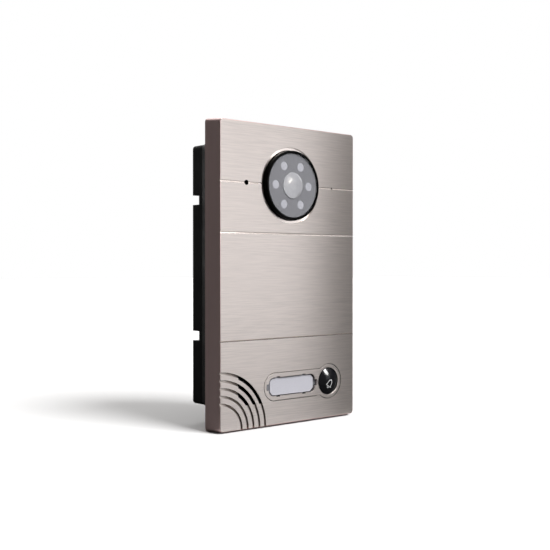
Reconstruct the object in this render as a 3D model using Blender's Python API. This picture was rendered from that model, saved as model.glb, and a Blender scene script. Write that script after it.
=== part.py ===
"""Flush-mounted door intercom panel with one call button, built as separate pieces.

Every named size is in millimetres and is turned into metres when a mesh is made.
Row frame: +Z up, the metal face looks towards -Y, +X is to the viewer's right.
The origin is the middle of the panel's base. Depths count backwards from the metal face.
"""
import math

import bmesh
import bpy

MM = 0.001
GAP = 0.3                     # clearance between neighbouring pieces

# Metal faceplate
FACE_WIDTH = 116.0            # at the rim that meets the wall
FACE_HEIGHT = 192.0
FACE_DEPTH = 13.8
FACE_FLARE = 1.2              # each side leans out by this much from face to wall
FACE_CORNER = 2.3
FACE_EDGE = 0.8               # rounding of the front edge
FRONT_WALL = 4.0
SIDE_WALL = 3.2
SHELF_INSET = 7.2             # inner end of the ledge that the housing is screwed to
SHELF_DEPTH = 7.3
MID_Z = FACE_HEIGHT / 2

# Whole object
TOTAL_DEPTH = 48.0
CAMERA_PROUD = 2.9            # how far the camera stands out of the metal face
FACE_Y = CAMERA_PROUD - TOTAL_DEPTH / 2
BACK_DEPTH = TOTAL_DEPTH - CAMERA_PROUD

# Lines across the face
GROOVES = ((153.2, 0.6, 0.25), (122.2, 0.6, 0.25), (55.9, 0.45, 0.5))   # height, half width, depth

# Camera
CAMERA_Z = 153.2
BARREL_RADIUS = 22.2
BARREL_SEAT_RADIUS = 20.7
BARREL_SEAT_DEPTH = 1.1
BARREL_CHAMFER = (0.8, 0.7)   # across and along
BARREL_FLANGE = (25.5, 5.8)   # radius and back depth
BARREL_TAIL_RADII = (20.5, 18.5)
RECESS_RADIUS = 24.3          # flat ledge around the barrel, a little below the face
RECESS_STEP = 0.7
WINDOW_RADIUS = 20.4
WINDOW_DEPTHS = (-2.7, -2.1)
MASK_DEPTHS = (-1.8, -1.4)
WINDOW_SEAL_WIDTH = 1.5
LENS_APEX_DEPTH = -2.8
LENS_CURVE_RADIUS = 20.0
LENS_COLLAR = (9.4, 0.1, 1.2) # radius, front and back depth
LENS_RADIUS = 8.0
LED_COUNT = 6
LED_CIRCLE_RADIUS = 14.0
LED_RADIUS = 2.5
LED_HOLE_RADIUS = 2.8
LED_COLLAR = (2.9, 7.4)       # radius and front depth
CAMERA_BOARD_DEPTH = 8.7
CAMERA_BOARD_SIZE = (88.0, 46.0)
BOARD_THICKNESS = 1.2
RIBBON_WIDTH = 12.0
RIBBON_THICKNESS = 0.35
RIBBON_HEIGHTS = (138.0, 129.0)   # at the camera board and at the main board

# Microphone and light sensor, level with the camera
SENSOR_X = 36.4
MIC_HOLE_RADIUS = 1.6
SENSOR_HOLE_RADIUS = 0.65

# Speaker and its grille of arcs around the lower left corner of the face
GRILLE_X = FACE_FLARE - FACE_WIDTH / 2
GRILLE_Z = FACE_FLARE
GRILLE_RADII = (36.2, 31.5, 26.8, 22.1, 17.4)
GRILLE_WIDTH = 1.6
GRILLE_DEPTH = 0.75
SLOT_COUNT = 3                # the outer arcs are cut right through between two straight ends
SLOT_WIDTH = 2.3
SLOT_START_X = 13.9
SLOT_START_Z = 14.5
SPEAKER_X = -34.3
SPEAKER_Z = 24.2
SPEAKER_RADIUS = 15.3

# Keyhole-shaped trim with the name window and the call button
TRIM_Z = 25.2
TRIM_LEFT = -22.1
TRIM_HALF_HEIGHT = 8.7
TRIM_RING_RADIUS = 11.3
TRIM_THICKNESS = 2.2
BUTTON_X = 33.6
BUTTON_RADIUS = 8.55
BUTTON_TRAVEL = 0.8
NAME_X = 1.6
NAME_SIZE = (39.6, 11.7)
NAME_EAR_SIZE = (43.6, 4.0)
NAME_CLIP_X = (-10.5, 11.5)
NAME_CLIP_SIZE = (3.0, 12.9)
NAME_CORNER = 4.0
CARD_SIZE = (37.05, 11.1)
CARD_CHAMFER = 2.4
CARD_SHIFT = 0.4
CARD_DEPTHS = (1.3, 1.6)
NAME_WINDOW_DEPTHS = (0.4, 1.0)
NAME_SEAL_DEPTH = 1.9
GUIDE_SIZE = (30.0, 8.6)
GUIDE_BACK = 8.0
NAME_LED_SIZE = (3.5, 2.8)
NAME_LED_REACH = 11.0         # each lamp's distance from the window's middle

# Rear housing
HOUSING_HALF = (45.0, 83.3)   # half width and half height at the back
HOUSING_WALL = 2.0
HOUSING_FLARE = 2.3           # the shoulder widens the housing towards the face
SHOULDER_DEPTHS = (27.4, 34.2)
FLANGE_INSET = 3.5
FLANGE_DEPTHS = (8.7, 10.4)
NOTCH_HEIGHTS = (56.8, 144.2)
NOTCH_HALF_HEIGHT = 3.1
NOTCH_DEEP = 7.3
NOTCH_WIDE = 6.5

# Fasteners
SCREW_RADIUS = 1.25
SCREW_HOLE_RADIUS = 1.6
CORNER_INSET = 7.6            # housing screws, from the rim's outline
LOCK_SCREW_X = 38.0
LOCK_SCREW_DEPTH = 12.1

# Main board
MAIN_BOARD_DEPTH = 24.0
MAIN_BOARD_THICKNESS = 1.6
MAIN_BOARD_SIZE = (82.0, 162.0)
MAIN_SCREW_X = 36.0
MAIN_SCREW_Z = (22.0, 170.0)
REAR_PARTS_DEPTH = MAIN_BOARD_DEPTH + MAIN_BOARD_THICKNESS + GAP
JACK_AT = (-24.0, 58.0)
JACK_SIZE = (16.0, 13.4)
JACK_SOCKET = (11.8, 8.2)
TERMINAL_AT = (15.0, 58.0)
TERMINAL_SIZE = (31.0, 8.4)
TERMINAL_WAYS = 8
TAMPER_AT = (26.0, 128.0)
TAMPER_RADIUS = 1.8
TAMPER_TRAVEL = 1.5

# Front board behind the name window and the call button
FRONT_BOARD_DEPTH = 11.0


# ---------------------------------------------------------------- outlines in the XZ plane

def rounded_rect(width, height, radius, steps=4):
    """Rectangle around the origin with round corners, counter-clockwise."""
    points = []
    for quarter in range(4):
        side_x = 1 if quarter in (0, 3) else -1
        side_z = 1 if quarter < 2 else -1
        centre_x = side_x * (width / 2 - radius)
        centre_z = side_z * (height / 2 - radius)
        for step in range(steps + 1):
            angle = math.radians(90 * (quarter + step / steps))
            point = (centre_x + radius * math.cos(angle), centre_z + radius * math.sin(angle))
            if not points or math.dist(point, points[-1]) > 1e-4:
                points.append(point)
    if math.dist(points[0], points[-1]) < 1e-4:
        points.pop()
    return points


def circle(radius, steps=32):
    """Circle around the origin; a flat, not a corner, faces each axis."""
    turns = [math.tau * (step + 0.5) / steps for step in range(steps)]
    return [(radius * math.cos(turn), radius * math.sin(turn)) for turn in turns]


def hexagon(radius):
    """Hexagon around the origin with a point in the middle of each side, to join to a circle."""
    points = []
    for step in range(12):
        turn = math.tau * (step + 0.5) / 12
        reach = radius if step % 2 == 0 else radius * math.cos(math.pi / 6)
        points.append((reach * math.cos(turn), reach * math.sin(turn)))
    return points


def chamfered_rect(width, height, cut):
    """Rectangle around the origin with its corners cut off."""
    half_x, half_z = width / 2, height / 2
    return [(half_x, cut - half_z), (half_x, half_z - cut), (half_x - cut, half_z),
            (cut - half_x, half_z), (-half_x, half_z - cut), (-half_x, cut - half_z),
            (cut - half_x, -half_z), (half_x - cut, -half_z)]


def keyhole(grow=0.0, steps=14):
    """Bar with a round left end that runs into a ring around the call button."""
    half = TRIM_HALF_HEIGHT + grow
    ring = TRIM_RING_RADIUS + grow
    end_x = TRIM_LEFT + TRIM_HALF_HEIGHT
    meet = math.asin(half / ring)
    points = []
    for step in range(2 * steps + 1):
        angle = (math.pi - meet) * (step / steps - 1)
        points.append((BUTTON_X + ring * math.cos(angle), ring * math.sin(angle)))
    for step in range(steps + 1):
        angle = math.pi * (0.5 + step / steps)
        points.append((end_x + half * math.cos(angle), half * math.sin(angle)))
    return points


def slot(radius, steps=10):
    """Arc-shaped slot around the grille's centre, with an upright and a level end."""
    inner = radius - SLOT_WIDTH
    points = []
    for reach, forward in ((radius, True), (inner, False)):
        low = math.asin(SLOT_START_Z / reach)
        high = math.acos(SLOT_START_X / reach)
        turns = [low + (high - low) * step / steps for step in range(steps + 1)]
        for turn in turns if forward else reversed(turns):
            points.append((reach * math.cos(turn), reach * math.sin(turn)))
    return points


# ---------------------------------------------------------------- building tools

def clear_scene():
    for item in list(bpy.data.objects):
        bpy.data.objects.remove(item, do_unlink=True)


def finish(name, colour, roughness, metallic=0.0, alpha=1.0):
    """Material with one Principled BSDF."""
    made = bpy.data.materials.new(name)
    made.use_nodes = True
    shader = made.node_tree.nodes["Principled BSDF"]
    shader.inputs["Base Color"].default_value = (*colour, 1.0)
    shader.inputs["Roughness"].default_value = roughness
    shader.inputs["Metallic"].default_value = metallic
    shader.inputs["Alpha"].default_value = alpha
    return made


def solid(name, rings, material, location=(0.0, 0.0, 0.0), ring_shaped=False):
    """Closed body through rings of points; a ring-shaped body joins its last ring to its first."""
    shape = bmesh.new()
    loops = [[shape.verts.new([value * MM for value in point]) for point in ring] for ring in rings]
    following = loops[1:] + loops[:1] if ring_shaped else loops[1:]
    for near, far in zip(loops, following):
        for index, corner in enumerate(near):
            after = (index + 1) % len(near)
            shape.faces.new((corner, near[after], far[after], far[index]))
    if not ring_shaped:
        shape.faces.new(loops[0])
        shape.faces.new(loops[-1])
    bmesh.ops.recalc_face_normals(shape, faces=shape.faces)
    mesh = bpy.data.meshes.new(name)
    shape.to_mesh(mesh)
    shape.free()
    mesh.materials.append(material)
    mesh.shade_smooth()
    mesh.set_sharp_from_angle(angle=math.radians(35))
    body = bpy.data.objects.new(name, mesh)
    body.location = [value * MM for value in location]
    bpy.context.scene.collection.objects.link(body)
    return body


def loft(name, sections, material, at=(0.0, 0.0), ring_shaped=False):
    """Body through (outline, depth) sections, placed at (x, z)."""
    rings = [[(x, depth, z) for x, z in outline] for outline, depth in sections]
    return solid(name, rings, material, (at[0], FACE_Y, at[1]), ring_shaped)


def plate(name, outline, front, back, material, at=(0.0, 0.0)):
    """Flat body with one outline between two depths."""
    return loft(name, [(outline, front), (outline, back)], material, at)


def turned(name, profile, material, at=(0.0, 0.0), steps=32, ring_shaped=False):
    """Round body around the Y direction through (radius, depth) points."""
    return loft(name, [(circle(radius, steps), depth) for radius, depth in profile],
                material, at, ring_shaped)


def block(name, size, front, back, material, at=(0.0, 0.0), edge=0.0):
    """Box with optional bevelled edges."""
    body = plate(name, rounded_rect(size[0], size[1], 0.0, 1), front, back, material, at)
    if edge > 0.0:
        bevel = body.modifiers.new("edges", "BEVEL")
        bevel.width = edge * MM
        bevel.segments = 1
    return body


def combine(body, tool, operation):
    """Cut or join a body with a tool that isn't itself part of the object."""
    change = body.modifiers.new(tool.name, "BOOLEAN")
    change.operation = operation
    change.object = tool
    tool.hide_render = True
    tool.display_type = "WIRE"


def cut(body, *tools):
    for tool in tools:
        combine(body, tool, "DIFFERENCE")


def join(body, *tools):
    for tool in tools:
        combine(body, tool, "UNION")


def inset_rect(inset, radius, steps=4):
    """Outline of the faceplate's rim, moved inwards."""
    return rounded_rect(FACE_WIDTH - 2 * inset, FACE_HEIGHT - 2 * inset, radius, steps)


def corner_places():
    """Name and place of each of the four housing screws."""
    reach_x = FACE_WIDTH / 2 - CORNER_INSET
    reach_z = FACE_HEIGHT / 2 - CORNER_INSET
    return [("lower_left", -reach_x, MID_Z - reach_z), ("lower_right", reach_x, MID_Z - reach_z),
            ("upper_left", -reach_x, MID_Z + reach_z), ("upper_right", reach_x, MID_Z + reach_z)]


def board_screw_places():
    """Name and place of each of the four main board screws."""
    low, high = MAIN_SCREW_Z
    return [("lower_left", -MAIN_SCREW_X, low), ("lower_right", MAIN_SCREW_X, low),
            ("upper_left", -MAIN_SCREW_X, high), ("upper_right", MAIN_SCREW_X, high)]


def led_places():
    """Place of each infrared lamp around the lens."""
    for index in range(LED_COUNT):
        turn = math.tau * index / LED_COUNT
        yield LED_CIRCLE_RADIUS * math.cos(turn), CAMERA_Z + LED_CIRCLE_RADIUS * math.sin(turn)


# ---------------------------------------------------------------- faceplate

def groove_tool(height, half_width, groove_depth, material):
    """Three-sided bar that cuts one line across the face."""
    reach = FACE_WIDTH / 2 + 2
    over = 2 * half_width
    section = [(groove_depth, 0.0), (-groove_depth, -over), (-groove_depth, over)]
    rings = [[(x, depth, z) for depth, z in section] for x in (-reach, reach)]
    return solid(f"tool_groove_{height:.0f}", rings, material, (0.0, FACE_Y, height))


def arc_tool(radius, material, steps=14):
    """Shallow arc with a steep outer wall and an inner wall that slopes up to the face."""
    inner = radius - GRILLE_WIDTH
    section = [(radius, -1.0), (radius, GRILLE_DEPTH), (inner, 0.0), (inner, -1.0)]
    rings = []
    for step in range(steps + 1):
        turn = math.radians(-8 + 106 * step / steps)
        rings.append([(reach * math.cos(turn), depth, reach * math.sin(turn)) for reach, depth in section])
    return solid(f"tool_arc_{radius:.0f}", rings, material, (GRILLE_X, FACE_Y, GRILLE_Z))


def upright_hole_tool(name, x, depth, bottom, top, radius, material):
    """Round hole that runs upwards."""
    rings = [[(px, py, height) for px, py in circle(radius, 16)] for height in (bottom, top)]
    return solid(name, rings, material, (x, FACE_Y + depth, 0.0))


def faceplate(metal):
    flare = FACE_FLARE * (1 - FACE_EDGE / FACE_DEPTH)
    third = FACE_EDGE * (1 - math.cos(math.radians(45)))
    sections = [
        (inset_rect(SHELF_INSET, 1.5), FRONT_WALL),
        (inset_rect(SHELF_INSET, 1.5), SHELF_DEPTH),
        (inset_rect(SIDE_WALL, 1.0), SHELF_DEPTH),
        (inset_rect(SIDE_WALL, 1.0), FACE_DEPTH),
        (inset_rect(0.0, FACE_CORNER), FACE_DEPTH),
        (inset_rect(flare, FACE_CORNER), FACE_EDGE),
        (inset_rect(flare + third, FACE_CORNER - third), third),
        (inset_rect(flare + FACE_EDGE, FACE_CORNER - FACE_EDGE), 0.0),
    ]
    body = loft("faceplate", sections, metal, (0.0, MID_Z))
    for name, x, z in corner_places():
        join(body, turned(f"tool_boss_{name}", [(3.2, FRONT_WALL - 0.5), (3.2, SHELF_DEPTH - 0.1)],
                          metal, (x, z), 16))
        cut(body, turned(f"tool_pilot_{name}", [(SCREW_RADIUS + GAP, FRONT_WALL + 0.8),
                                                (SCREW_RADIUS + GAP, FACE_DEPTH)], metal, (x, z), 12))
    for groove in GROOVES:
        cut(body, groove_tool(*groove, metal))
    cut_camera_opening(body, metal)
    cut_trim_pocket(body, metal)
    cut_grille(body, metal)
    for side in (-1, 1):
        cut(body, upright_hole_tool(f"tool_lock_{side}", side * LOCK_SCREW_X, LOCK_SCREW_DEPTH,
                                    -1.0, SIDE_WALL + 1.0, SCREW_RADIUS + GAP, metal))
    return body


def cut_camera_opening(body, metal):
    """Bore with a ledge around its mouth, and the two small holes beside it."""
    bore = BARREL_RADIUS + GAP
    profile = [(RECESS_RADIUS, -1.0), (RECESS_RADIUS, RECESS_STEP), (bore, RECESS_STEP),
               (bore, FRONT_WALL + 1.0)]
    cut(body, turned("tool_camera", profile, metal, (0.0, CAMERA_Z), 48))
    for name, x, radius in (("mic", -SENSOR_X, MIC_HOLE_RADIUS), ("sensor", SENSOR_X, SENSOR_HOLE_RADIUS)):
        cut(body, turned(f"tool_{name}", [(radius, -1.0), (radius, FRONT_WALL + 1.0)],
                         metal, (x, CAMERA_Z), 16))


def cut_trim_pocket(body, metal):
    """Pocket for the trim, with openings in its floor for the light guide and the button."""
    floor = TRIM_THICKNESS + GAP
    guide = rounded_rect(GUIDE_SIZE[0] + 2 * GAP, GUIDE_SIZE[1] + 2 * GAP, 0.0, 1)
    cut(body, plate("tool_pocket", keyhole(GAP), -1.0, floor, metal, (0.0, TRIM_Z)),
        plate("tool_guide", guide, floor - 0.5, FRONT_WALL + 1.0, metal, (NAME_X, TRIM_Z)),
        turned("tool_button", [(9.9, floor - 0.5), (9.9, FRONT_WALL + 1.0)], metal,
               (BUTTON_X, TRIM_Z), 32))


def cut_grille(body, metal):
    for radius in GRILLE_RADII:
        cut(body, arc_tool(radius, metal))
    for radius in GRILLE_RADII[:SLOT_COUNT]:
        cut(body, plate(f"tool_slot_{radius:.0f}", slot(radius), -1.0, FRONT_WALL + 1.0, metal,
                        (GRILLE_X, GRILLE_Z)))


# ---------------------------------------------------------------- camera

def camera_barrel(plastic):
    top = -CAMERA_PROUD
    back = CAMERA_BOARD_DEPTH - GAP
    flange, flange_back = BARREL_FLANGE
    across, along = BARREL_CHAMFER
    outer, inner = BARREL_TAIL_RADII
    profile = [(BARREL_RADIUS - across, top), (BARREL_RADIUS, top + along),
               (BARREL_RADIUS, FRONT_WALL + GAP), (flange, FRONT_WALL + GAP), (flange, flange_back),
               (outer, flange_back), (outer, back), (inner, back), (inner, BARREL_SEAT_DEPTH),
               (BARREL_SEAT_RADIUS, BARREL_SEAT_DEPTH), (BARREL_SEAT_RADIUS, top)]
    return turned("camera_barrel", profile, plastic, (0.0, CAMERA_Z), 36, True)


def camera_window(clear):
    front, back = WINDOW_DEPTHS
    profile = [(WINDOW_RADIUS, front), (WINDOW_RADIUS, back), (LENS_RADIUS + GAP, back),
               (LENS_RADIUS + GAP, front)]
    return turned("camera_window", profile, clear, (0.0, CAMERA_Z), 36, True)


def camera_mask(plastic):
    front, back = MASK_DEPTHS
    profile = [(WINDOW_RADIUS, front), (WINDOW_RADIUS, back), (LENS_RADIUS + GAP, back),
               (LENS_RADIUS + GAP, front)]
    body = turned("camera_mask", profile, plastic, (0.0, CAMERA_Z), 36, True)
    for index, place in enumerate(led_places(), 1):
        through = [(LED_HOLE_RADIUS, front - 1.0), (LED_HOLE_RADIUS, back + 1.0)]
        cut(body, turned(f"tool_mask_{index}", through, plastic, place, 16))
    return body


def window_gasket(rubber):
    front, back = MASK_DEPTHS[1] + GAP, BARREL_SEAT_DEPTH - GAP
    inner = WINDOW_RADIUS - WINDOW_SEAL_WIDTH
    profile = [(WINDOW_RADIUS, front), (WINDOW_RADIUS, back), (inner, back), (inner, front)]
    return turned("window_gasket", profile, rubber, (0.0, CAMERA_Z), 28, True)


def lens_dome(clear):
    collar, collar_front, collar_back = LENS_COLLAR
    profile = []
    for reach in (1.5, 4.5, 6.8, LENS_RADIUS):
        sag = LENS_CURVE_RADIUS - math.sqrt(LENS_CURVE_RADIUS ** 2 - reach ** 2)
        profile.append((reach, LENS_APEX_DEPTH + sag))
    profile += [(LENS_RADIUS, collar_front), (collar, collar_front), (collar, collar_back)]
    return turned("lens_dome", profile, clear, (0.0, CAMERA_Z), 24)


def lens_barrel(plastic):
    back = CAMERA_BOARD_DEPTH - GAP
    profile = [(4.0, 2.4), (4.6, 1.6), (6.5, 1.6), (6.5, 5.0), (8.5, 5.0), (8.5, back)]
    return turned("lens_barrel", profile, plastic, (0.0, CAMERA_Z), 20)


def infrared_leds(clear):
    back = CAMERA_BOARD_DEPTH - GAP
    collar, collar_front = LED_COLLAR
    profile = [(1.7, -1.7), (LED_RADIUS, -1.3), (LED_RADIUS, collar_front), (collar, collar_front),
               (collar, back)]
    for index, place in enumerate(led_places(), 1):
        turned(f"ir_led_{index}", profile, clear, place, 12)


def camera_board(laminate):
    return plate("camera_board", rounded_rect(*CAMERA_BOARD_SIZE, 2.0, 2), CAMERA_BOARD_DEPTH,
                 CAMERA_BOARD_DEPTH + BOARD_THICKNESS, laminate, (0.0, CAMERA_Z))


def camera_ribbon(plastic, steps=10):
    """Flat cable that bends from the camera board back to the main board."""
    start = CAMERA_BOARD_DEPTH + BOARD_THICKNESS + GAP
    end = MAIN_BOARD_DEPTH - GAP
    first, last = RIBBON_HEIGHTS
    half = RIBBON_WIDTH / 2
    rings = []
    for step in range(steps + 1):
        share = step / steps
        depth = start + (end - start) * share
        low = first + (last - first) * (1 - math.cos(math.pi * share)) / 2
        high = low + RIBBON_THICKNESS
        rings.append([(-half, depth, low), (half, depth, low), (half, depth, high), (-half, depth, high)])
    return solid("camera_ribbon", rings, plastic, (0.0, FACE_Y, 0.0))


# ---------------------------------------------------------------- microphone and light sensor

def microphone_set(rubber, metal):
    back = CAMERA_BOARD_DEPTH - GAP
    front = FRONT_WALL + GAP
    cup = [(4.4, front), (4.4, back), (3.3, back), (3.3, 5.6), (1.2, 5.6), (1.2, front)]
    turned("mic_boot", cup, rubber, (-SENSOR_X, CAMERA_Z), 20, True)
    turned("microphone", [(2.6, 5.9), (3.0, 6.2), (3.0, back)], metal, (-SENSOR_X, CAMERA_Z), 20)


def light_sensor_set(clear, plastic):
    place = (SENSOR_X, CAMERA_Z)
    turned("light_pipe", [(1.5, FRONT_WALL + GAP), (1.5, 7.0)], clear, place, 16)
    block("light_sensor", (2.4, 2.4), 7.3, CAMERA_BOARD_DEPTH - GAP, plastic, place)


# ---------------------------------------------------------------- trim, name window and button

def trim_bezel(metal):
    body = plate("trim_bezel", keyhole(), 0.0, TRIM_THICKNESS, metal, (0.0, TRIM_Z))
    through = (-1.0, TRIM_THICKNESS + 1.0)
    name_at = (NAME_X, TRIM_Z)
    cut(body,
        plate("tool_name", rounded_rect(*NAME_SIZE, NAME_CORNER, 6), *through, metal, name_at),
        plate("tool_ears", rounded_rect(*NAME_EAR_SIZE, 0.6, 2), *through, metal, name_at),
        turned("tool_button_hole", [(BUTTON_RADIUS + GAP, depth) for depth in through], metal,
               (BUTTON_X, TRIM_Z), 36))
    for index, x in enumerate(NAME_CLIP_X):
        cut(body, plate(f"tool_clip_{index}", rounded_rect(*NAME_CLIP_SIZE, 0.0, 1), *through, metal,
                        (x, TRIM_Z)))
    return body


def name_window(clear):
    front, back = NAME_WINDOW_DEPTHS
    window = rounded_rect(NAME_SIZE[0] - 2 * GAP, NAME_SIZE[1] - 2 * GAP, NAME_CORNER - GAP, 6)
    ears = rounded_rect(NAME_EAR_SIZE[0] - 2 * GAP, NAME_EAR_SIZE[1] - 2 * GAP, 0.3, 2)
    body = plate("name_window", window, front, back, clear, (NAME_X, TRIM_Z))
    join(body, plate("tool_window_ears", ears, front + 0.1, back - 0.1, clear, (NAME_X, TRIM_Z)))
    return body


def name_card(paper):
    return plate("name_card", chamfered_rect(*CARD_SIZE, CARD_CHAMFER), *CARD_DEPTHS, paper,
                 (NAME_X + CARD_SHIFT, TRIM_Z))


def name_gasket(plastic):
    """Grey frame behind the card's edge, around the light guide."""
    shrink = 2 * GAP
    front, back = NAME_SEAL_DEPTH, TRIM_THICKNESS
    outline = rounded_rect(NAME_SIZE[0] - shrink, NAME_SIZE[1] - shrink, NAME_CORNER - GAP, 6)
    body = plate("name_gasket", outline, front, back, plastic, (NAME_X, TRIM_Z))
    tabs = [(NAME_EAR_SIZE, NAME_X)] + [(NAME_CLIP_SIZE, x) for x in NAME_CLIP_X]
    for index, (size, x) in enumerate(tabs):
        join(body, plate(f"tool_tab_{index}", rounded_rect(size[0] - shrink, size[1] - shrink, 0.0, 1),
                         front, back, plastic, (x, TRIM_Z)))
    hole = rounded_rect(GUIDE_SIZE[0] + shrink, GUIDE_SIZE[1] + shrink, 0.0, 1)
    cut(body, plate("tool_guide_hole", hole, front - 1.0, back + 1.0, plastic, (NAME_X, TRIM_Z)))
    return body


def name_lighting(clear, plastic):
    """Light guide behind the card and the two lamps behind its back edge."""
    block("light_guide", GUIDE_SIZE, NAME_SEAL_DEPTH, GUIDE_BACK, clear, (NAME_X, TRIM_Z))
    for name, side in (("left", -1), ("right", 1)):
        block(f"name_led_{name}", NAME_LED_SIZE, GUIDE_BACK + GAP, FRONT_BOARD_DEPTH - GAP, plastic,
              (NAME_X + NAME_LED_REACH * side, TRIM_Z))


def call_button(plastic):
    """Domed cap with a retaining flange behind the trim and a stem down to the switch."""
    flange = TRIM_THICKNESS + GAP
    profile = [(1.5, -1.85), (4.0, -1.65), (6.3, -1.1), (7.8, -0.35), (BUTTON_RADIUS, 0.4),
               (BUTTON_RADIUS, flange), (9.6, flange), (9.6, flange + 1.0), (3.0, flange + 1.0),
               (3.0, 6.6)]
    return turned("call_button", profile, plastic, (BUTTON_X, TRIM_Z), 28)


def button_retainer(plastic):
    """Dished ring behind the faceplate that keeps the button in and guides its stem."""
    profile = [(12.5, FRONT_WALL + GAP), (12.5, 6.1), (3.4, 6.1), (3.4, 5.0), (10.3, 5.0),
               (10.3, FRONT_WALL + GAP)]
    return turned("button_retainer", profile, plastic, (BUTTON_X, TRIM_Z), 24, True)


def call_switch(plastic, plunger_plastic):
    place = (BUTTON_X, TRIM_Z)
    body = block("call_switch_body", (7.0, 7.0), 8.5, FRONT_BOARD_DEPTH - GAP, plastic, place)
    cut(body, turned("tool_switch", [(2.1, 8.0), (2.1, 10.1)], plastic, place, 16))
    turned("call_switch_plunger", [(1.4, 6.9), (1.75, 7.2), (1.75, 9.0)], plunger_plastic, place, 16)


def front_board(laminate):
    left, right, bottom, top = -14.0, 44.0, 15.0, 38.0
    return plate("front_board", rounded_rect(right - left, top - bottom, 1.5, 2), FRONT_BOARD_DEPTH,
                 FRONT_BOARD_DEPTH + BOARD_THICKNESS, laminate, ((left + right) / 2, (bottom + top) / 2))


# ---------------------------------------------------------------- speaker

def speaker(rubber, plastic, paper, magnet_metal):
    place = (SPEAKER_X, SPEAKER_Z)
    ring = [(SPEAKER_RADIUS, FRONT_WALL + GAP), (SPEAKER_RADIUS, 5.5), (14.0, 5.5),
            (14.0, FRONT_WALL + GAP)]
    turned("speaker_gasket", ring, rubber, place, 24, True)
    basket = [(SPEAKER_RADIUS, 5.8), (SPEAKER_RADIUS, 7.0), (10.6, 8.35), (10.6, 9.2), (6.0, 9.2),
              (6.0, 8.5), (9.8, 8.5), (9.8, 7.9), (13.9, 6.7), (13.9, 5.8)]
    turned("speaker_frame", basket, plastic, place, 24, True)
    cone = [(1.5, 6.2), (4.6, 6.9), (13.1, 5.9), (13.1, 6.2), (5.2, 7.4), (5.2, 10.8), (4.6, 10.8),
            (4.6, 7.4), (1.5, 6.7)]
    turned("speaker_cone", cone, paper, place, 20)
    magnet = [(3.9, 9.5), (3.9, 12.0), (5.8, 12.0), (5.8, 9.5), (8.0, 9.5), (8.0, 14.5)]
    turned("speaker_magnet", magnet, magnet_metal, place, 20)


# ---------------------------------------------------------------- housing and seals

def housing_outline(grow, radius):
    half_x, half_z = HOUSING_HALF
    return rounded_rect(2 * (half_x + grow), 2 * (half_z + grow), radius)


def rear_housing(plastic):
    near, far = SHOULDER_DEPTHS
    front, back = FLANGE_DEPTHS
    wall, wide = HOUSING_WALL, HOUSING_FLARE
    edge = 0.8
    sections = [
        (housing_outline(-wall, 1.5), BACK_DEPTH - wall),
        (housing_outline(-wall, 1.5), far),
        (housing_outline(wide - wall, 4.0), near),
        (housing_outline(wide - wall, 4.0), front),
        (inset_rect(FLANGE_INSET, 1.0), front),
        (inset_rect(FLANGE_INSET, 1.0), back),
        (housing_outline(wide, 6.0), back),
        (housing_outline(wide, 6.0), near),
        (housing_outline(0.0, 2.5), far),
        (housing_outline(0.0, 2.5), BACK_DEPTH - edge),
        (housing_outline(-edge, 2.0), BACK_DEPTH),
    ]
    body = loft("rear_housing", sections, plastic, (0.0, MID_Z))
    shape_housing_notches(body, plastic)
    for name, x, z in board_screw_places():
        join(body, turned(f"tool_post_{name}", [(3.0, REAR_PARTS_DEPTH), (3.0, BACK_DEPTH - 1.0)],
                          plastic, (x, z), 16))
        cut(body, turned(f"tool_post_hole_{name}", [(SCREW_RADIUS + GAP, REAR_PARTS_DEPTH - 1.0),
                                                    (SCREW_RADIUS + GAP, 34.0)], plastic, (x, z), 12))
    for name, x, z in corner_places():
        cut(body, turned(f"tool_flange_{name}", [(SCREW_HOLE_RADIUS, front - 1.0),
                                                 (SCREW_HOLE_RADIUS, back + 1.0)], plastic, (x, z), 12))
    through = (BACK_DEPTH - wall - 1.0, BACK_DEPTH + 1.0)
    jack = rounded_rect(JACK_SIZE[0] + 1.0, JACK_SIZE[1] + 1.0, 0.5, 2)
    terminal = rounded_rect(TERMINAL_SIZE[0] + 2.0, TERMINAL_SIZE[1] + 2.0, 0.5, 2)
    cut(body, plate("tool_jack_window", jack, *through, plastic, JACK_AT),
        plate("tool_terminal_window", terminal, *through, plastic, TERMINAL_AT),
        turned("tool_tamper_hole", [(TAMPER_RADIUS + 0.4, depth) for depth in through], plastic,
               TAMPER_AT, 16))
    return body


def shape_housing_notches(body, plastic):
    """Four walled notches in the housing's long back edges, where the wall box's catches sit."""
    half_x = HOUSING_HALF[0]
    notch_front = BACK_DEPTH - NOTCH_DEEP
    wall = HOUSING_WALL
    for side in (-1, 1):
        for height in NOTCH_HEIGHTS:
            tag = f"{'left' if side < 0 else 'right'}_{height:.0f}"
            inner = half_x - NOTCH_WIDE
            wall_size = (NOTCH_WIDE + wall - 1.0, 2 * (NOTCH_HALF_HEIGHT + wall))
            wall_at = (side * (inner - wall + half_x - 1.0) / 2, height)
            space_size = (NOTCH_WIDE + 2.0, 2 * NOTCH_HALF_HEIGHT)
            space_at = (side * (inner + half_x + 2.0) / 2, height)
            join(body, block(f"tool_notch_wall_{tag}", wall_size, notch_front - wall, BACK_DEPTH - 1.0,
                             plastic, wall_at))
            cut(body, block(f"tool_notch_{tag}", space_size, notch_front, BACK_DEPTH + 2.0,
                            plastic, space_at))


def housing_gasket(rubber):
    outer = inset_rect(FLANGE_INSET + 0.1, 1.0)
    inner = inset_rect(6.0, 1.0)
    front, back = SHELF_DEPTH + GAP, FLANGE_DEPTHS[0] - GAP
    return loft("housing_gasket", [(outer, front), (outer, back), (inner, back), (inner, front)],
                rubber, (0.0, MID_Z), True)


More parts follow.
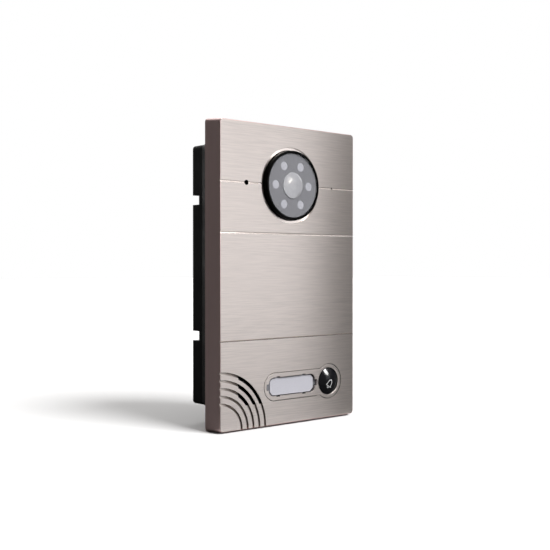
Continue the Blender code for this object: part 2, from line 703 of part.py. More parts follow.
def wall_gasket(foam):
    outer = inset_rect(6.8, 10.0)
    inner = rounded_rect(2 * (HOUSING_HALF[0] + HOUSING_FLARE + 0.4),
                         2 * (HOUSING_HALF[1] + HOUSING_FLARE + 0.4), 6.4)
    front, back = FLANGE_DEPTHS[1] + GAP, FACE_DEPTH
    return loft("wall_gasket", [(outer, front), (outer, back), (inner, back), (inner, front)],
                foam, (0.0, MID_Z), True)


# ---------------------------------------------------------------- fasteners

def socket_screw(name, x, z, top, seat, tip, head_radius, metal):
    """Pan-head screw with a hexagon socket; its head may face either way along Y."""
    inward = 1 if tip > top else -1
    sections = [
        (hexagon(1.1), top + 1.0 * inward),
        (hexagon(1.1), top),
        (circle(head_radius - 0.3, 12), top),
        (circle(head_radius, 12), top + 0.5 * inward),
        (circle(head_radius, 12), seat),
        (circle(SCREW_RADIUS, 12), seat),
        (circle(SCREW_RADIUS, 12), tip),
    ]
    return loft(name, sections, metal, (x, z))


def housing_screws(metal):
    seat = FLANGE_DEPTHS[1] + GAP
    for name, x, z in corner_places():
        socket_screw(f"housing_screw_{name}", x, z, seat + 1.8, seat, FRONT_WALL + 1.2, 2.1, metal)


def board_screws(metal):
    seat = MAIN_BOARD_DEPTH - GAP
    for name, x, z in board_screw_places():
        socket_screw(f"board_screw_{name}", x, z, seat - 1.8, seat, 33.0, 2.6, metal)


def lock_screws(metal):
    """Headless screws in the bottom edge that hold the panel to its wall box."""
    for name, side in (("left", -1), ("right", 1)):
        levels = [(hexagon(0.7), 1.8), (hexagon(0.7), 0.6), (circle(SCREW_RADIUS - 0.2, 12), 0.6),
                  (circle(SCREW_RADIUS, 12), 0.9), (circle(SCREW_RADIUS, 12), 5.8),
                  (circle(SCREW_RADIUS - 0.3, 12), 6.2)]
        rings = [[(px, py, height) for px, py in outline] for outline, height in levels]
        solid(f"lock_screw_{name}", rings, metal,
              (side * LOCK_SCREW_X, FACE_Y + LOCK_SCREW_DEPTH, 0.0))


# ---------------------------------------------------------------- main board and what it carries

def main_board(laminate):
    body = plate("main_board", rounded_rect(*MAIN_BOARD_SIZE, 3.0, 3), MAIN_BOARD_DEPTH,
                 MAIN_BOARD_DEPTH + MAIN_BOARD_THICKNESS, laminate, (0.0, MID_Z))
    for name, x, z in board_screw_places():
        cut(body, turned(f"tool_board_{name}", [(SCREW_HOLE_RADIUS, MAIN_BOARD_DEPTH - 1.0),
                                                (SCREW_HOLE_RADIUS, MAIN_BOARD_DEPTH + 3.0)],
                         laminate, (x, z), 12))
    return body


def ethernet_jack(metal):
    back = BACK_DEPTH - HOUSING_WALL - GAP
    body = block("ethernet_jack", JACK_SIZE, REAR_PARTS_DEPTH, back, metal, JACK_AT)
    cut(body, block("tool_jack_socket", JACK_SOCKET, back - 12.5, back + 1.0, metal, JACK_AT))
    return body


def terminal_block(plastic):
    back = 40.0
    body = block("terminal_block", TERMINAL_SIZE, REAR_PARTS_DEPTH, back, plastic, TERMINAL_AT, 0.4)
    pitch = TERMINAL_SIZE[0] / TERMINAL_WAYS
    for way in range(TERMINAL_WAYS):
        x = TERMINAL_AT[0] + pitch * (way + 0.5) - TERMINAL_SIZE[0] / 2
        cut(body, block(f"tool_way_{way}", (2.7, 3.4), back - 7.0, back + 1.0, plastic,
                        (x, TERMINAL_AT[1])))
    return body


def power_parts(relay_plastic, core, sleeve):
    front = REAR_PARTS_DEPTH
    block("relay", (19.0, 15.0), front, 41.0, relay_plastic, (24.0, 86.0), 0.5)
    block("transformer", (14.0, 14.0), front, 36.0, core, (-25.0, 88.0), 0.8)
    for name, x, radius, back in (("large", -6.0, 5.0, 38.5), ("small", 6.5, 4.0, 36.5)):
        turned(f"capacitor_{name}", [(radius, front), (radius, back - 0.5), (radius - 0.5, back)],
               sleeve, (x, 88.0), 18)


def shield_can(metal):
    return block("shield_can", (30.0, 30.0), 19.7, MAIN_BOARD_DEPTH - GAP, metal, (0.0, 100.0), 0.5)


def board_connector(plastic):
    """Tall header between the front board and the main board."""
    return block("board_connector", (22.0, 5.0), FRONT_BOARD_DEPTH + BOARD_THICKNESS + GAP,
                 MAIN_BOARD_DEPTH - GAP, plastic, (20.0, 20.0), 0.3)


def tamper_switch(plastic, plunger_plastic):
    body = block("tamper_switch", (8.0, 8.0), REAR_PARTS_DEPTH, 38.5, plastic, TAMPER_AT, 0.3)
    cut(body, turned("tool_tamper", [(TAMPER_RADIUS + GAP, 33.2), (TAMPER_RADIUS + GAP, 40.0)], plastic,
                     TAMPER_AT, 16))
    turned("tamper_plunger", [(TAMPER_RADIUS, 33.2 + TAMPER_TRAVEL + GAP), (TAMPER_RADIUS, BACK_DEPTH - 0.4),
                              (TAMPER_RADIUS - 0.4, BACK_DEPTH)], plunger_plastic, TAMPER_AT, 16)


# ---------------------------------------------------------------- assembly

def build():
    clear_scene()
    brushed = finish("brushed_alloy", (0.60, 0.55, 0.52), 0.34, 1.0)
    black = finish("black_plastic", (0.012, 0.012, 0.012), 0.55)
    gloss_black = finish("gloss_black", (0.006, 0.006, 0.006), 0.08)
    grey = finish("grey_mask", (0.20, 0.20, 0.21), 0.35)
    clear = finish("clear_plastic", (0.62, 0.62, 0.64), 0.06, 0.0, 0.4)
    white = finish("white_plastic", (0.70, 0.70, 0.69), 0.45)
    paper = finish("card_paper", (0.68, 0.67, 0.70), 0.80)
    rubber = finish("seal_rubber", (0.020, 0.020, 0.020), 0.85)
    steel = finish("screw_steel", (0.50, 0.50, 0.51), 0.30, 1.0)
    laminate = finish("board_laminate", (0.02, 0.12, 0.05), 0.45)
    relay_blue = finish("relay_plastic", (0.03, 0.10, 0.35), 0.40)
    terminal_green = finish("terminal_plastic", (0.04, 0.25, 0.09), 0.45)

    faceplate(brushed)
    trim_bezel(brushed)
    camera_barrel(black)
    camera_window(clear)
    camera_mask(grey)
    window_gasket(rubber)
    lens_dome(clear)
    lens_barrel(black)
    infrared_leds(clear)
    camera_board(laminate)
    camera_ribbon(white)
    microphone_set(rubber, steel)
    light_sensor_set(clear, black)
    name_window(clear)
    name_card(paper)
    name_gasket(grey)
    name_lighting(white, white)
    call_button(gloss_black)
    button_retainer(black)
    call_switch(black, white)
    front_board(laminate)
    speaker(rubber, black, paper, steel)
    rear_housing(black)
    housing_gasket(rubber)
    wall_gasket(rubber)
    housing_screws(steel)
    board_screws(steel)
    lock_screws(steel)
    main_board(laminate)
    ethernet_jack(steel)
    terminal_block(terminal_green)
    power_parts(relay_blue, black, gloss_black)
    shield_can(steel)
    board_connector(black)
    tamper_switch(black, white)


build()
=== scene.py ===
"""Looks of the door intercom panel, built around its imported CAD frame.

Sizes are millimetres, and depths count backwards from the metal face. Every finished mesh
is in metres in the row frame.
"""
import math

import bmesh
import bpy
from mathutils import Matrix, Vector


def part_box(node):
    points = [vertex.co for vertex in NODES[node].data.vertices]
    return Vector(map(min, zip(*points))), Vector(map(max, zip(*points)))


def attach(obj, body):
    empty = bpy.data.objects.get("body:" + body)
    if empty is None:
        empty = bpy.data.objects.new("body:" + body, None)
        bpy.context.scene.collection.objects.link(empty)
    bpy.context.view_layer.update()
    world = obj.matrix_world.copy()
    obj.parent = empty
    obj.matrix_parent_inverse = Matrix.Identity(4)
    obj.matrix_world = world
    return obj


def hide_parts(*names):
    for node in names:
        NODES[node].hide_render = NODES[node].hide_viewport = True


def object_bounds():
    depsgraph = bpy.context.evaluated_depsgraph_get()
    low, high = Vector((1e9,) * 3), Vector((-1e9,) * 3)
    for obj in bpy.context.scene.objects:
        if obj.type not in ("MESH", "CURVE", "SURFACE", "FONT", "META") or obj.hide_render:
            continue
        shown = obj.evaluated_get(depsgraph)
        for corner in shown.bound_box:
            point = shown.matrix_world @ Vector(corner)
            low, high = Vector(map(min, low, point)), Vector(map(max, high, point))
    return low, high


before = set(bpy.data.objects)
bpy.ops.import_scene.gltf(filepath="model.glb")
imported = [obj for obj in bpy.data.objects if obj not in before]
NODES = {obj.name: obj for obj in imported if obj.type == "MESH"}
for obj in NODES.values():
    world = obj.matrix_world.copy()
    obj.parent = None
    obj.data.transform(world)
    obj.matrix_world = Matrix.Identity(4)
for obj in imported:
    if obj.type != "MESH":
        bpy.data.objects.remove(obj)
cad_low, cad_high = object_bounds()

MM = 0.001

# ---- places read from the frame

FACE_LOW, FACE_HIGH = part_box("faceplate")
FACE_Y = FACE_LOW.y / MM
FACE_WIDTH = (FACE_HIGH.x - FACE_LOW.x) / MM
FACE_HEIGHT = (FACE_HIGH.z - FACE_LOW.z) / MM
FACE_DEPTH = (FACE_HIGH.y - FACE_LOW.y) / MM
BACK_DEPTH = (cad_high.y - FACE_LOW.y) / MM
MID_Z = FACE_HEIGHT / 2


def centre(node):
    """Middle of a CAD node seen from the front, as (x, z) in millimetres."""
    low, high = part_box(node)
    return (low.x + high.x) / 2 / MM, (low.z + high.z) / 2 / MM


def depths(node):
    """Front and back depth of a CAD node in millimetres."""
    low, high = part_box(node)
    return low.y / MM - FACE_Y, high.y / MM - FACE_Y


def span(node):
    """Width and height of a CAD node in millimetres."""
    low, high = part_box(node)
    return (high.x - low.x) / MM, (high.z - low.z) / MM


CAMERA_AT = centre("camera_barrel")
BUTTON_AT = centre("call_button")
NAME_AT = centre("name_window")
SENSOR_X = centre("light_sensor")[0]

# ---- driving sizes, in millimetres

GAP = 0.3
FACE_FLARE = 1.2
FACE_CORNER = 2.3
FACE_EDGE = 0.5
FRONT_WALL = 4.0
SIDE_WALL = 3.2
SHELF_INSET = 7.2
SHELF_DEPTH = 7.3
GROOVES = ((153.2, 0.6, 0.25), (122.2, 0.6, 0.25), (55.9, 0.45, 0.5))   # height, half width, depth
RECESS_RADIUS = 24.3
RECESS_STEP = 0.7
BARREL_RADIUS = 22.2
WINDOW_RADIUS = 20.4
LENS_RADIUS = 8.0
LENS_CURVE = 90.0
LED_CIRCLE = 14.0
LED_COUNT = 6
LED_HOLE = 2.8
LED_SAG = 0.06
MIC_HOLE = 1.6
SENSOR_HOLE = 0.65
GRILLE_RADII = (36.2, 31.5, 26.8, 22.1, 17.4)
GRILLE_WIDTH = 1.6
GRILLE_DEPTH = 0.75
SLOT_COUNT = 3
SLOT_WIDTH = 2.3
SLOT_START = (13.9, 14.5)
TRIM_LEFT = -22.1
TRIM_HALF_HEIGHT = 8.7
TRIM_RING = 11.3
TRIM_THICKNESS = 2.2
BUTTON_RADIUS = 8.55
NAME_SIZE = (39.6, 11.7)
EAR_SIZE = (43.6, 4.0)
CLIP_X = (-10.5, 11.5)
CLIP_SIZE = (3.0, 12.9)
GUIDE_SIZE = (30.0, 8.6)
NAME_CORNER = 4.0
CARD_CHAMFER = 2.4
HOUSING_HALF = (45.0, 83.3)
HOUSING_WALL = 2.0
HOUSING_FLARE = 2.3
SHOULDER = (27.4, 34.2)
FLANGE_INSET = 3.5
FLANGE_DEPTHS = (8.7, 10.4)
NOTCH_HEIGHTS = (56.8, 144.2)
NOTCH_HALF_HEIGHT = 3.1
NOTCH_DEEP = 7.3
NOTCH_WIDE = 6.5
SCREW_RADIUS = 1.25
LOCK_SCREW_DEPTH = 12.1


# ---- outlines in the XZ plane

def arc(centre_x, centre_z, radius, start, end, steps):
    """Points of a circular arc, angles in degrees."""
    points = []
    for step in range(steps + 1):
        turn = math.radians(start + (end - start) * step / steps)
        points.append((centre_x + radius * math.cos(turn), centre_z + radius * math.sin(turn)))
    return points


def rounded_rect(width, height, radius, steps=10):
    """Rectangle around the origin with round corners, counter-clockwise."""
    if radius <= 0.0:
        return [(width / 2, -height / 2), (width / 2, height / 2), (-width / 2, height / 2),
                (-width / 2, -height / 2)]
    reach_x, reach_z = width / 2 - radius, height / 2 - radius
    points = []
    for sign_x, sign_z, start in ((1, 1, 0), (-1, 1, 90), (-1, -1, 180), (1, -1, 270)):
        points += arc(sign_x * reach_x, sign_z * reach_z, radius, start, start + 90, steps)
    return [p for i, p in enumerate(points) if math.dist(p, points[i - 1]) > 1e-4]


def circle(radius, steps=96):
    """Circle around the origin; a flat, not a corner, faces each axis."""
    turns = [math.tau * (step + 0.5) / steps for step in range(steps)]
    return [(radius * math.cos(turn), radius * math.sin(turn)) for turn in turns]


def hexagon(radius):
    turns = [math.tau * step / 6 for step in range(6)]
    return [(radius * math.cos(turn), radius * math.sin(turn)) for turn in turns]


def chamfered_rect(width, height, cut):
    half_x, half_z = width / 2, height / 2
    return [(half_x, cut - half_z), (half_x, half_z - cut), (half_x - cut, half_z),
            (cut - half_x, half_z), (-half_x, half_z - cut), (-half_x, cut - half_z),
            (cut - half_x, -half_z), (half_x - cut, -half_z)]


def keyhole(grow=0.0, steps=48):
    """Bar with a round left end that runs into a ring around the call button."""
    half = TRIM_HALF_HEIGHT + grow
    ring = TRIM_RING + grow
    meet = math.degrees(math.asin(half / ring))
    points = arc(BUTTON_AT[0], 0.0, ring, meet - 180, 180 - meet, 2 * steps)
    return points + arc(TRIM_LEFT + TRIM_HALF_HEIGHT, 0.0, half, 90, 270, steps)


def slot_outline(radius, grow=0.0, steps=28):
    """Arc-shaped slot around the grille's centre, with an upright and a level end."""
    points = []
    for reach, forward in ((radius + grow, True), (radius - SLOT_WIDTH - grow, False)):
        low = math.asin((SLOT_START[1] - grow) / reach)
        high = math.acos((SLOT_START[0] - grow) / reach)
        turns = [low + (high - low) * step / steps for step in range(steps + 1)]
        points += [(reach * math.cos(turn), reach * math.sin(turn))
                   for turn in (turns if forward else reversed(turns))]
    return points


def rim(inset, radius, steps=8):
    """The faceplate's outline, moved inwards."""
    return rounded_rect(FACE_WIDTH - 2 * inset, FACE_HEIGHT - 2 * inset, radius, steps)


def smooth_profile(points, steps=6):
    """Catmull-Rom curve through profile points."""
    ends = [points[0], *points, points[-1]]
    made = []
    for before, start, end, after in zip(ends, ends[1:], ends[2:], ends[3:]):
        for step in range(steps):
            t = step / steps
            made.append(tuple(
                0.5 * (2 * b + (c - a) * t + (2 * a - 5 * b + 4 * c - d) * t ** 2
                       + (3 * b - a - 3 * c + d) * t ** 3)
                for a, b, c, d in zip(before, start, end, after)))
    return made + [points[-1]]


def rounding(radius_from, depth_from, radius_to, depth_to, steps=5):
    """Quarter-round profile that leaves along the radius and arrives along the depth."""
    made = []
    for step in range(steps + 1):
        turn = math.pi / 2 * step / steps
        made.append((radius_from + (radius_to - radius_from) * math.sin(turn),
                     depth_from + (depth_to - depth_from) * (1 - math.cos(turn))))
    return made


# ---- shape helpers

def new_object(name, mesh):
    made = bpy.data.objects.new(name, mesh)
    bpy.context.scene.collection.objects.link(made)
    return made


def solid(name, rings, ring_shaped=False):
    """Closed mesh through rings of points given in millimetres."""
    shape = bmesh.new()
    loops = [[shape.verts.new([value * MM for value in point]) for point in ring] for ring in rings]
    following = loops[1:] + loops[:1] if ring_shaped else loops[1:]
    for near, far in zip(loops, following):
        for index, corner in enumerate(near):
            after = (index + 1) % len(near)
            shape.faces.new((corner, near[after], far[after], far[index]))
    if not ring_shaped:
        shape.faces.new(loops[0])
        shape.faces.new(loops[-1])
    bmesh.ops.recalc_face_normals(shape, faces=shape.faces)
    mesh = bpy.data.meshes.new(name)
    shape.to_mesh(mesh)
    shape.free()
    return new_object(name, mesh)


def loft(name, sections, at=(0.0, 0.0), ring_shaped=False):
    """Body through (outline, depth) sections, placed at (x, z)."""
    rings = [[(at[0] + x, FACE_Y + depth, at[1] + z) for x, z in outline]
             for outline, depth in sections]
    return solid(name, rings, ring_shaped)


def plate(name, outline, front, back, at=(0.0, 0.0)):
    return loft(name, [(outline, front), (outline, back)], at)


def turned(name, profile, at=(0.0, 0.0), steps=96, ring_shaped=False):
    """Round body around the Y direction through (radius, depth) points."""
    return loft(name, [(circle(radius, steps), depth) for radius, depth in profile], at, ring_shaped)


def joined(name, parts):
    """One object from several, with their materials kept."""
    shape = bmesh.new()
    materials = []
    for part in parts:
        offset = len(shape.faces)
        shape.from_mesh(part.data)
        shape.faces.ensure_lookup_table()
        slots = list(part.data.materials)
        for face in shape.faces[offset:]:
            material = slots[face.material_index] if slots else None
            if material not in materials:
                materials.append(material)
            face.material_index = materials.index(material)
    mesh = bpy.data.meshes.new(name)
    shape.to_mesh(mesh)
    shape.free()
    for material in materials:
        mesh.materials.append(material)
    for part in parts:
        drop(part)
    return new_object(name, mesh)


def drop(part):
    mesh = part.data
    bpy.data.objects.remove(part, do_unlink=True)
    bpy.data.meshes.remove(mesh)


def applied(body):
    """Puts the result of a body's modifiers into its mesh."""
    evaluated = body.evaluated_get(bpy.context.evaluated_depsgraph_get())
    mesh = bpy.data.meshes.new_from_object(evaluated)
    old = body.data
    body.modifiers.clear()
    body.data = mesh
    mesh.name = body.name
    bpy.data.meshes.remove(old)
    return body


def carve(body, tools, operation="DIFFERENCE"):
    """Cuts the tools out of a body, or joins them to it, and removes them."""
    for tool in tools:
        change = body.modifiers.new(tool.name, "BOOLEAN")
        change.operation = operation
        change.solver = "EXACT"
        change.object = tool
    applied(body)
    for tool in tools:
        drop(tool)
    return body


def shaded(body, angle=32):
    """Smooth shading between shallow angles, with flat areas kept flat."""
    body.data.shade_smooth()
    body.data.set_sharp_from_angle(angle=math.radians(angle))
    weighted = body.modifiers.new("weighted", "WEIGHTED_NORMAL")
    weighted.weight = 100
    weighted.keep_sharp = True
    return body


def softened(body, width, segments=2, angle=40):
    """Small bevel on a body's sharp edges."""
    bevel = body.modifiers.new("edges", "BEVEL")
    bevel.width = width * MM
    bevel.segments = segments
    bevel.limit_method = "ANGLE"
    bevel.angle_limit = math.radians(angle)
    return applied(body)


def dressed(piece, body, slot, material, *nodes):
    """Gives a piece its material and body and hides the CAD nodes that it stands for. The slot is not used.
    """
    if material is not None:
        piece.data.materials.clear()
        piece.data.materials.append(material)
    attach(piece, body)
    if nodes:
        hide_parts(*nodes)
    return piece


# ---- material helpers

class Nodes:
    """Short calls that add nodes to a material or to the world."""

    def __init__(self, tree):
        self.tree = tree

    def node(self, kind, **settings):
        made = self.tree.nodes.new(kind)
        for key, value in settings.items():
            setattr(made, key, value)
        return made

    def link(self, source, target):
        self.tree.links.new(source, target)

    def maths(self, operation, *terms):
        """Math node over numbers and the outputs of other nodes."""
        made = self.node("ShaderNodeMath", operation=operation)
        for socket, term in zip(made.inputs, terms):
            if isinstance(term, float):
                socket.default_value = term
            else:
                self.link(term, socket)
        return made.outputs[0]

    def ranged(self, factor, low, high, from_low=0.3, from_high=0.7, **settings):
        scale = self.node("ShaderNodeMapRange", **settings)
        for socket, value in zip(("From Min", "From Max", "To Min", "To Max"),
                                 (from_low, from_high, low, high)):
            scale.inputs[socket].default_value = value
        self.link(factor, scale.inputs["Value"])
        return scale.outputs["Result"]

    def blended(self, share, first, second):
        """Mix Shader node from the first shader to the second."""
        mix = self.node("ShaderNodeMixShader")
        for source, socket in zip((share, first.outputs[0], second.outputs[0]), mix.inputs):
            self.link(source, socket)
        return mix.outputs[0]


class Finish(Nodes):
    """A material with one Principled shader."""

    def __init__(self, name, roughness=0.5, metallic=0.0, **constants):
        self.material = bpy.data.materials.new(name)
        self.material.use_nodes = True
        super().__init__(self.material.node_tree)
        self.shader = self.tree.nodes["Principled BSDF"]
        self.shader.inputs["Roughness"].default_value = roughness
        self.shader.inputs["Metallic"].default_value = metallic
        for socket, value in constants.items():
            label = socket.replace("_", " ").title().replace("Ior", "IOR")
            self.shader.inputs[label].default_value = value

    def noise(self, stretch, detail=3.0, roughness=0.5, seed=0.0):
        """Noise over the object's own coordinates; stretch is repeats per metre, or one for X, Y and Z."""
        where = self.node("ShaderNodeTexCoord")
        mapping = self.node("ShaderNodeMapping")
        mapping.inputs["Scale"].default_value = stretch if isinstance(stretch, tuple) else (stretch,) * 3
        mapping.inputs["Location"].default_value = (seed,) * 3
        pattern = self.node("ShaderNodeTexNoise")
        for socket, value in (("Scale", 1.0), ("Detail", detail), ("Roughness", roughness)):
            pattern.inputs[socket].default_value = value
        self.link(where.outputs["Object"], mapping.inputs["Vector"])
        self.link(mapping.outputs["Vector"], pattern.inputs["Vector"])
        return pattern.outputs["Fac"]

    def mixed(self, factor, first, second):
        mix = self.node("ShaderNodeMix", data_type="RGBA")
        self.link(factor, mix.inputs["Factor"])
        for socket, value in ((mix.inputs["A"], first), (mix.inputs["B"], second)):
            if isinstance(value, tuple):
                socket.default_value = (*value, 1.0)
            else:
                self.link(value, socket)
        return mix.outputs["Result"]

    def summed(self, first, second, share):
        """First plus share times second."""
        return self.maths("MULTIPLY_ADD", second, share, first)

    def bumped(self, height, distance, strength=1.0):
        bump = self.node("ShaderNodeBump")
        bump.inputs["Strength"].default_value = strength
        bump.inputs["Distance"].default_value = distance * MM
        self.link(height, bump.inputs["Height"])
        self.link(bump.outputs["Normal"], self.shader.inputs["Normal"])

    def coloured(self, colour):
        self.link(colour, self.shader.inputs["Base Color"])

    def tinted(self, pattern, first, second):
        """Colour that follows a pattern from the first colour to the second."""
        self.coloured(self.mixed(self.ranged(pattern, 0.0, 1.0), first, second))

    def roughened(self, value):
        self.link(value, self.shader.inputs["Roughness"])


def shade(colour, factor):
    return tuple(min(1.0, value * factor) for value in colour)


def grained(name, colour, roughness, spread=0.12, grain=1600.0, bump=0.02, metallic=0.0, **constants):
    """Fine-grained surface: cloudy colour, uneven gloss and a fine bump."""
    made = Finish(name, roughness, metallic, **constants)
    fine = made.noise(grain, 2.0)
    broad = made.noise(60.0, 4.0, 0.6, 3.0)
    rough_spread = 0.08
    made.coloured(made.mixed(made.ranged(made.summed(broad, fine, 0.35), 0.0, 1.0, 0.5, 0.9),
                             shade(colour, 1 - spread), shade(colour, 1 + spread)))
    made.roughened(made.ranged(broad, roughness - rough_spread, roughness + rough_spread))
    made.bumped(fine, bump)
    return made.material


# ---- materials

ALLOY = (0.785, 0.71, 0.665)
# Painted tint for the rim's sides, browner and pinker than the alloy: it stands for how light falls on them.
SIDE_TINT = (0.84, 0.63, 0.61)
LENS_SCATTER = 4.0


def across_brush(made):
    """Points the wide direction of the shine across the brush lines."""
    tangent = made.node("ShaderNodeTangent", direction_type="UV_MAP", uv_map="brush")
    made.link(tangent.outputs["Tangent"], made.shader.inputs["Tangent"])


def brushed_alloy():
    """Champagne-grey alloy with long fine brush lines across the face."""
    made = Finish("brushed_alloy", 0.315, 1.0, anisotropic=1.0)
    fine = made.noise((60.0, 60.0, 1700.0), 2.5, 0.6)
    streak = made.noise((9.0, 9.0, 420.0), 3.0, 0.6, 5.0)
    cloud = made.noise((9.0, 9.0, 30.0), 2.0, 0.5, 9.0)
    lines = made.summed(fine, streak, 0.2)
    tone = made.ranged(lines, 0.0, 1.0, 0.34, 0.86)
    colour = made.mixed(tone, shade(ALLOY, 0.84), shade(ALLOY, 1.11))
    made.coloured(made.mixed(made.ranged(cloud, 0.0, 0.5), colour, shade(ALLOY, 0.98)))
    made.roughened(made.ranged(lines, 0.306, 0.324, 0.34, 0.86))
    made.bumped(fine, 0.002, 0.4)
    across_brush(made)
    return made.material


def turned_alloy():
    """Ledge around the camera, turned on a lathe, so its fine lines run round it. Its colour is a lighter
    copy of the face alloy: painted sheen.
    """
    made = Finish("turned_alloy", 0.30, 1.0, anisotropic=0.85)
    fine = made.noise(700.0, 3.0, 0.6)
    # Painted sheen: colours lifted above the face alloy's.
    made.tinted(fine, shade(ALLOY, 1.04), shade(ALLOY, 1.16))
    made.roughened(made.ranged(fine, 0.27, 0.33))
    across_brush(made)
    return made.material


def side_alloy():
    """The rim's sides: the same alloy, brushed lengthwise and a little duller. Their browner, pinker tint is
    painted: it stands for how light falls on the sides.
    """
    made = Finish("side_alloy", 0.40, 1.0, anisotropic=0.6)
    fine = made.noise((2600.0, 2600.0, 30.0), 3.0, 0.6)
    cloud = made.noise((25.0, 25.0, 12.0), 3.0, 0.5, 4.0)
    tone = made.ranged(made.summed(cloud, fine, 0.3), 0.0, 1.0, 0.45, 0.85)
    made.coloured(made.mixed(tone, shade(SIDE_TINT, 0.94), shade(SIDE_TINT, 1.06)))
    made.roughened(made.ranged(fine, 0.36, 0.44))
    made.bumped(fine, 0.004, 0.4)
    across_brush(made)
    return made.material


def polished_alloy():
    """Bright machined edges: the grooves, the camera's mouth and the trim's bevels. Their polish is real;
    their colour is a lighter copy of the face alloy, which paints extra sheen.
    """
    made = Finish("polished_alloy", 0.2, 1.0)
    fine = made.noise(900.0, 3.0, 0.6)
    # Painted sheen: colours lifted above the face alloy's.
    made.tinted(fine, shade(ALLOY, 1.02), shade(ALLOY, 1.16))
    made.roughened(made.ranged(fine, 0.16, 0.26))
    made.bumped(fine, 0.003, 0.5)
    return made.material


def glossy_black():
    """Polished black moulding with faint wipe marks."""
    made = Finish("gloss_black", 0.07, specular_ior_level=0.09, coat_weight=0.12, coat_roughness=0.16)
    wipe = made.noise((90.0, 90.0, 260.0), 4.0, 0.6)
    made.tinted(wipe, (0.004, 0.004, 0.005), (0.009, 0.009, 0.010))
    made.roughened(made.ranged(wipe, 0.05, 0.11))
    return made.material


def smoked_window():
    """Clear cover: it lets the mask show through and mirrors the lights."""
    made = Finish("clear_cover", 0.04)
    output = made.tree.nodes["Material Output"]
    made.tree.nodes.remove(made.shader)
    dust = made.noise(240.0, 5.0, 0.7)
    film = made.node("ShaderNodeBsdfTransparent")
    film.inputs["Color"].default_value = (0.97, 0.97, 0.98, 1.0)
    gloss = made.node("ShaderNodeBsdfGlossy")
    made.link(made.ranged(dust, 0.02, 0.07), gloss.inputs["Roughness"])
    edge = made.node("ShaderNodeFresnel")
    edge.inputs["IOR"].default_value = 1.46
    sides = made.node("ShaderNodeNewGeometry")
    outside = made.maths("SUBTRACT", 1.0, sides.outputs["Backfacing"])
    share = made.maths("MULTIPLY", edge.outputs[0], outside)
    made.link(made.blended(share, film, gloss), output.inputs["Surface"])
    return made.material


def frosted_lens():
    """Pale milky lens plastic: light spreads inside it, and its skin is polished."""
    made = Finish("frosted_lens", 0.35, specular_ior_level=0.2, coat_weight=0.7, coat_roughness=0.12)
    cloud = made.noise(420.0, 3.0)
    made.tinted(cloud, (0.300, 0.300, 0.316), (0.335, 0.335, 0.352))
    made.roughened(made.ranged(cloud, 0.30, 0.40))
    made.shader.inputs["Subsurface Weight"].default_value = 1.0
    made.shader.inputs["Subsurface Radius"].default_value = (1.0, 1.0, 1.0)
    made.shader.inputs["Subsurface Scale"].default_value = LENS_SCATTER * MM
    return made.material


def card_paper():
    made = Finish("card_paper", 0.7)
    fibre = made.noise((700.0, 700.0, 2200.0), 4.0, 0.7)
    made.tinted(fibre, (0.45, 0.446, 0.468), (0.51, 0.505, 0.53))
    made.bumped(fibre, 0.01)
    return made.material


def laminate():
    """Solder mask with faint copper tracks under it."""
    made = Finish("board_laminate", 0.35, coat_weight=0.2)
    where = made.node("ShaderNodeTexCoord")
    brick = made.node("ShaderNodeTexBrick", offset=0.37)
    brick.inputs["Scale"].default_value = 420.0
    brick.inputs["Mortar Size"].default_value = 0.02
    brick.inputs["Color1"].default_value = (0.010, 0.090, 0.035, 1.0)
    brick.inputs["Color2"].default_value = (0.014, 0.120, 0.045, 1.0)
    brick.inputs["Mortar"].default_value = (0.030, 0.190, 0.075, 1.0)
    swap = made.node("ShaderNodeMapping")
    swap.inputs["Rotation"].default_value = (math.pi / 2, 0.0, 0.0)
    made.link(where.outputs["Object"], swap.inputs["Vector"])
    made.link(swap.outputs["Vector"], brick.inputs["Vector"])
    fine = made.noise(500.0, 3.0)
    made.coloured(made.mixed(made.ranged(fine, 0.0, 0.35), brick.outputs["Color"], (0.012, 0.075, 0.03)))
    made.roughened(made.ranged(fine, 0.28, 0.42))
    return made.material


def icon_ink():
    made = Finish("icon_ink", 0.35)
    fine = made.noise(1800.0, 3.0)
    made.tinted(fine, (0.55, 0.55, 0.56), (0.72, 0.72, 0.73))
    made.roughened(made.ranged(fine, 0.3, 0.45))
    return made.material


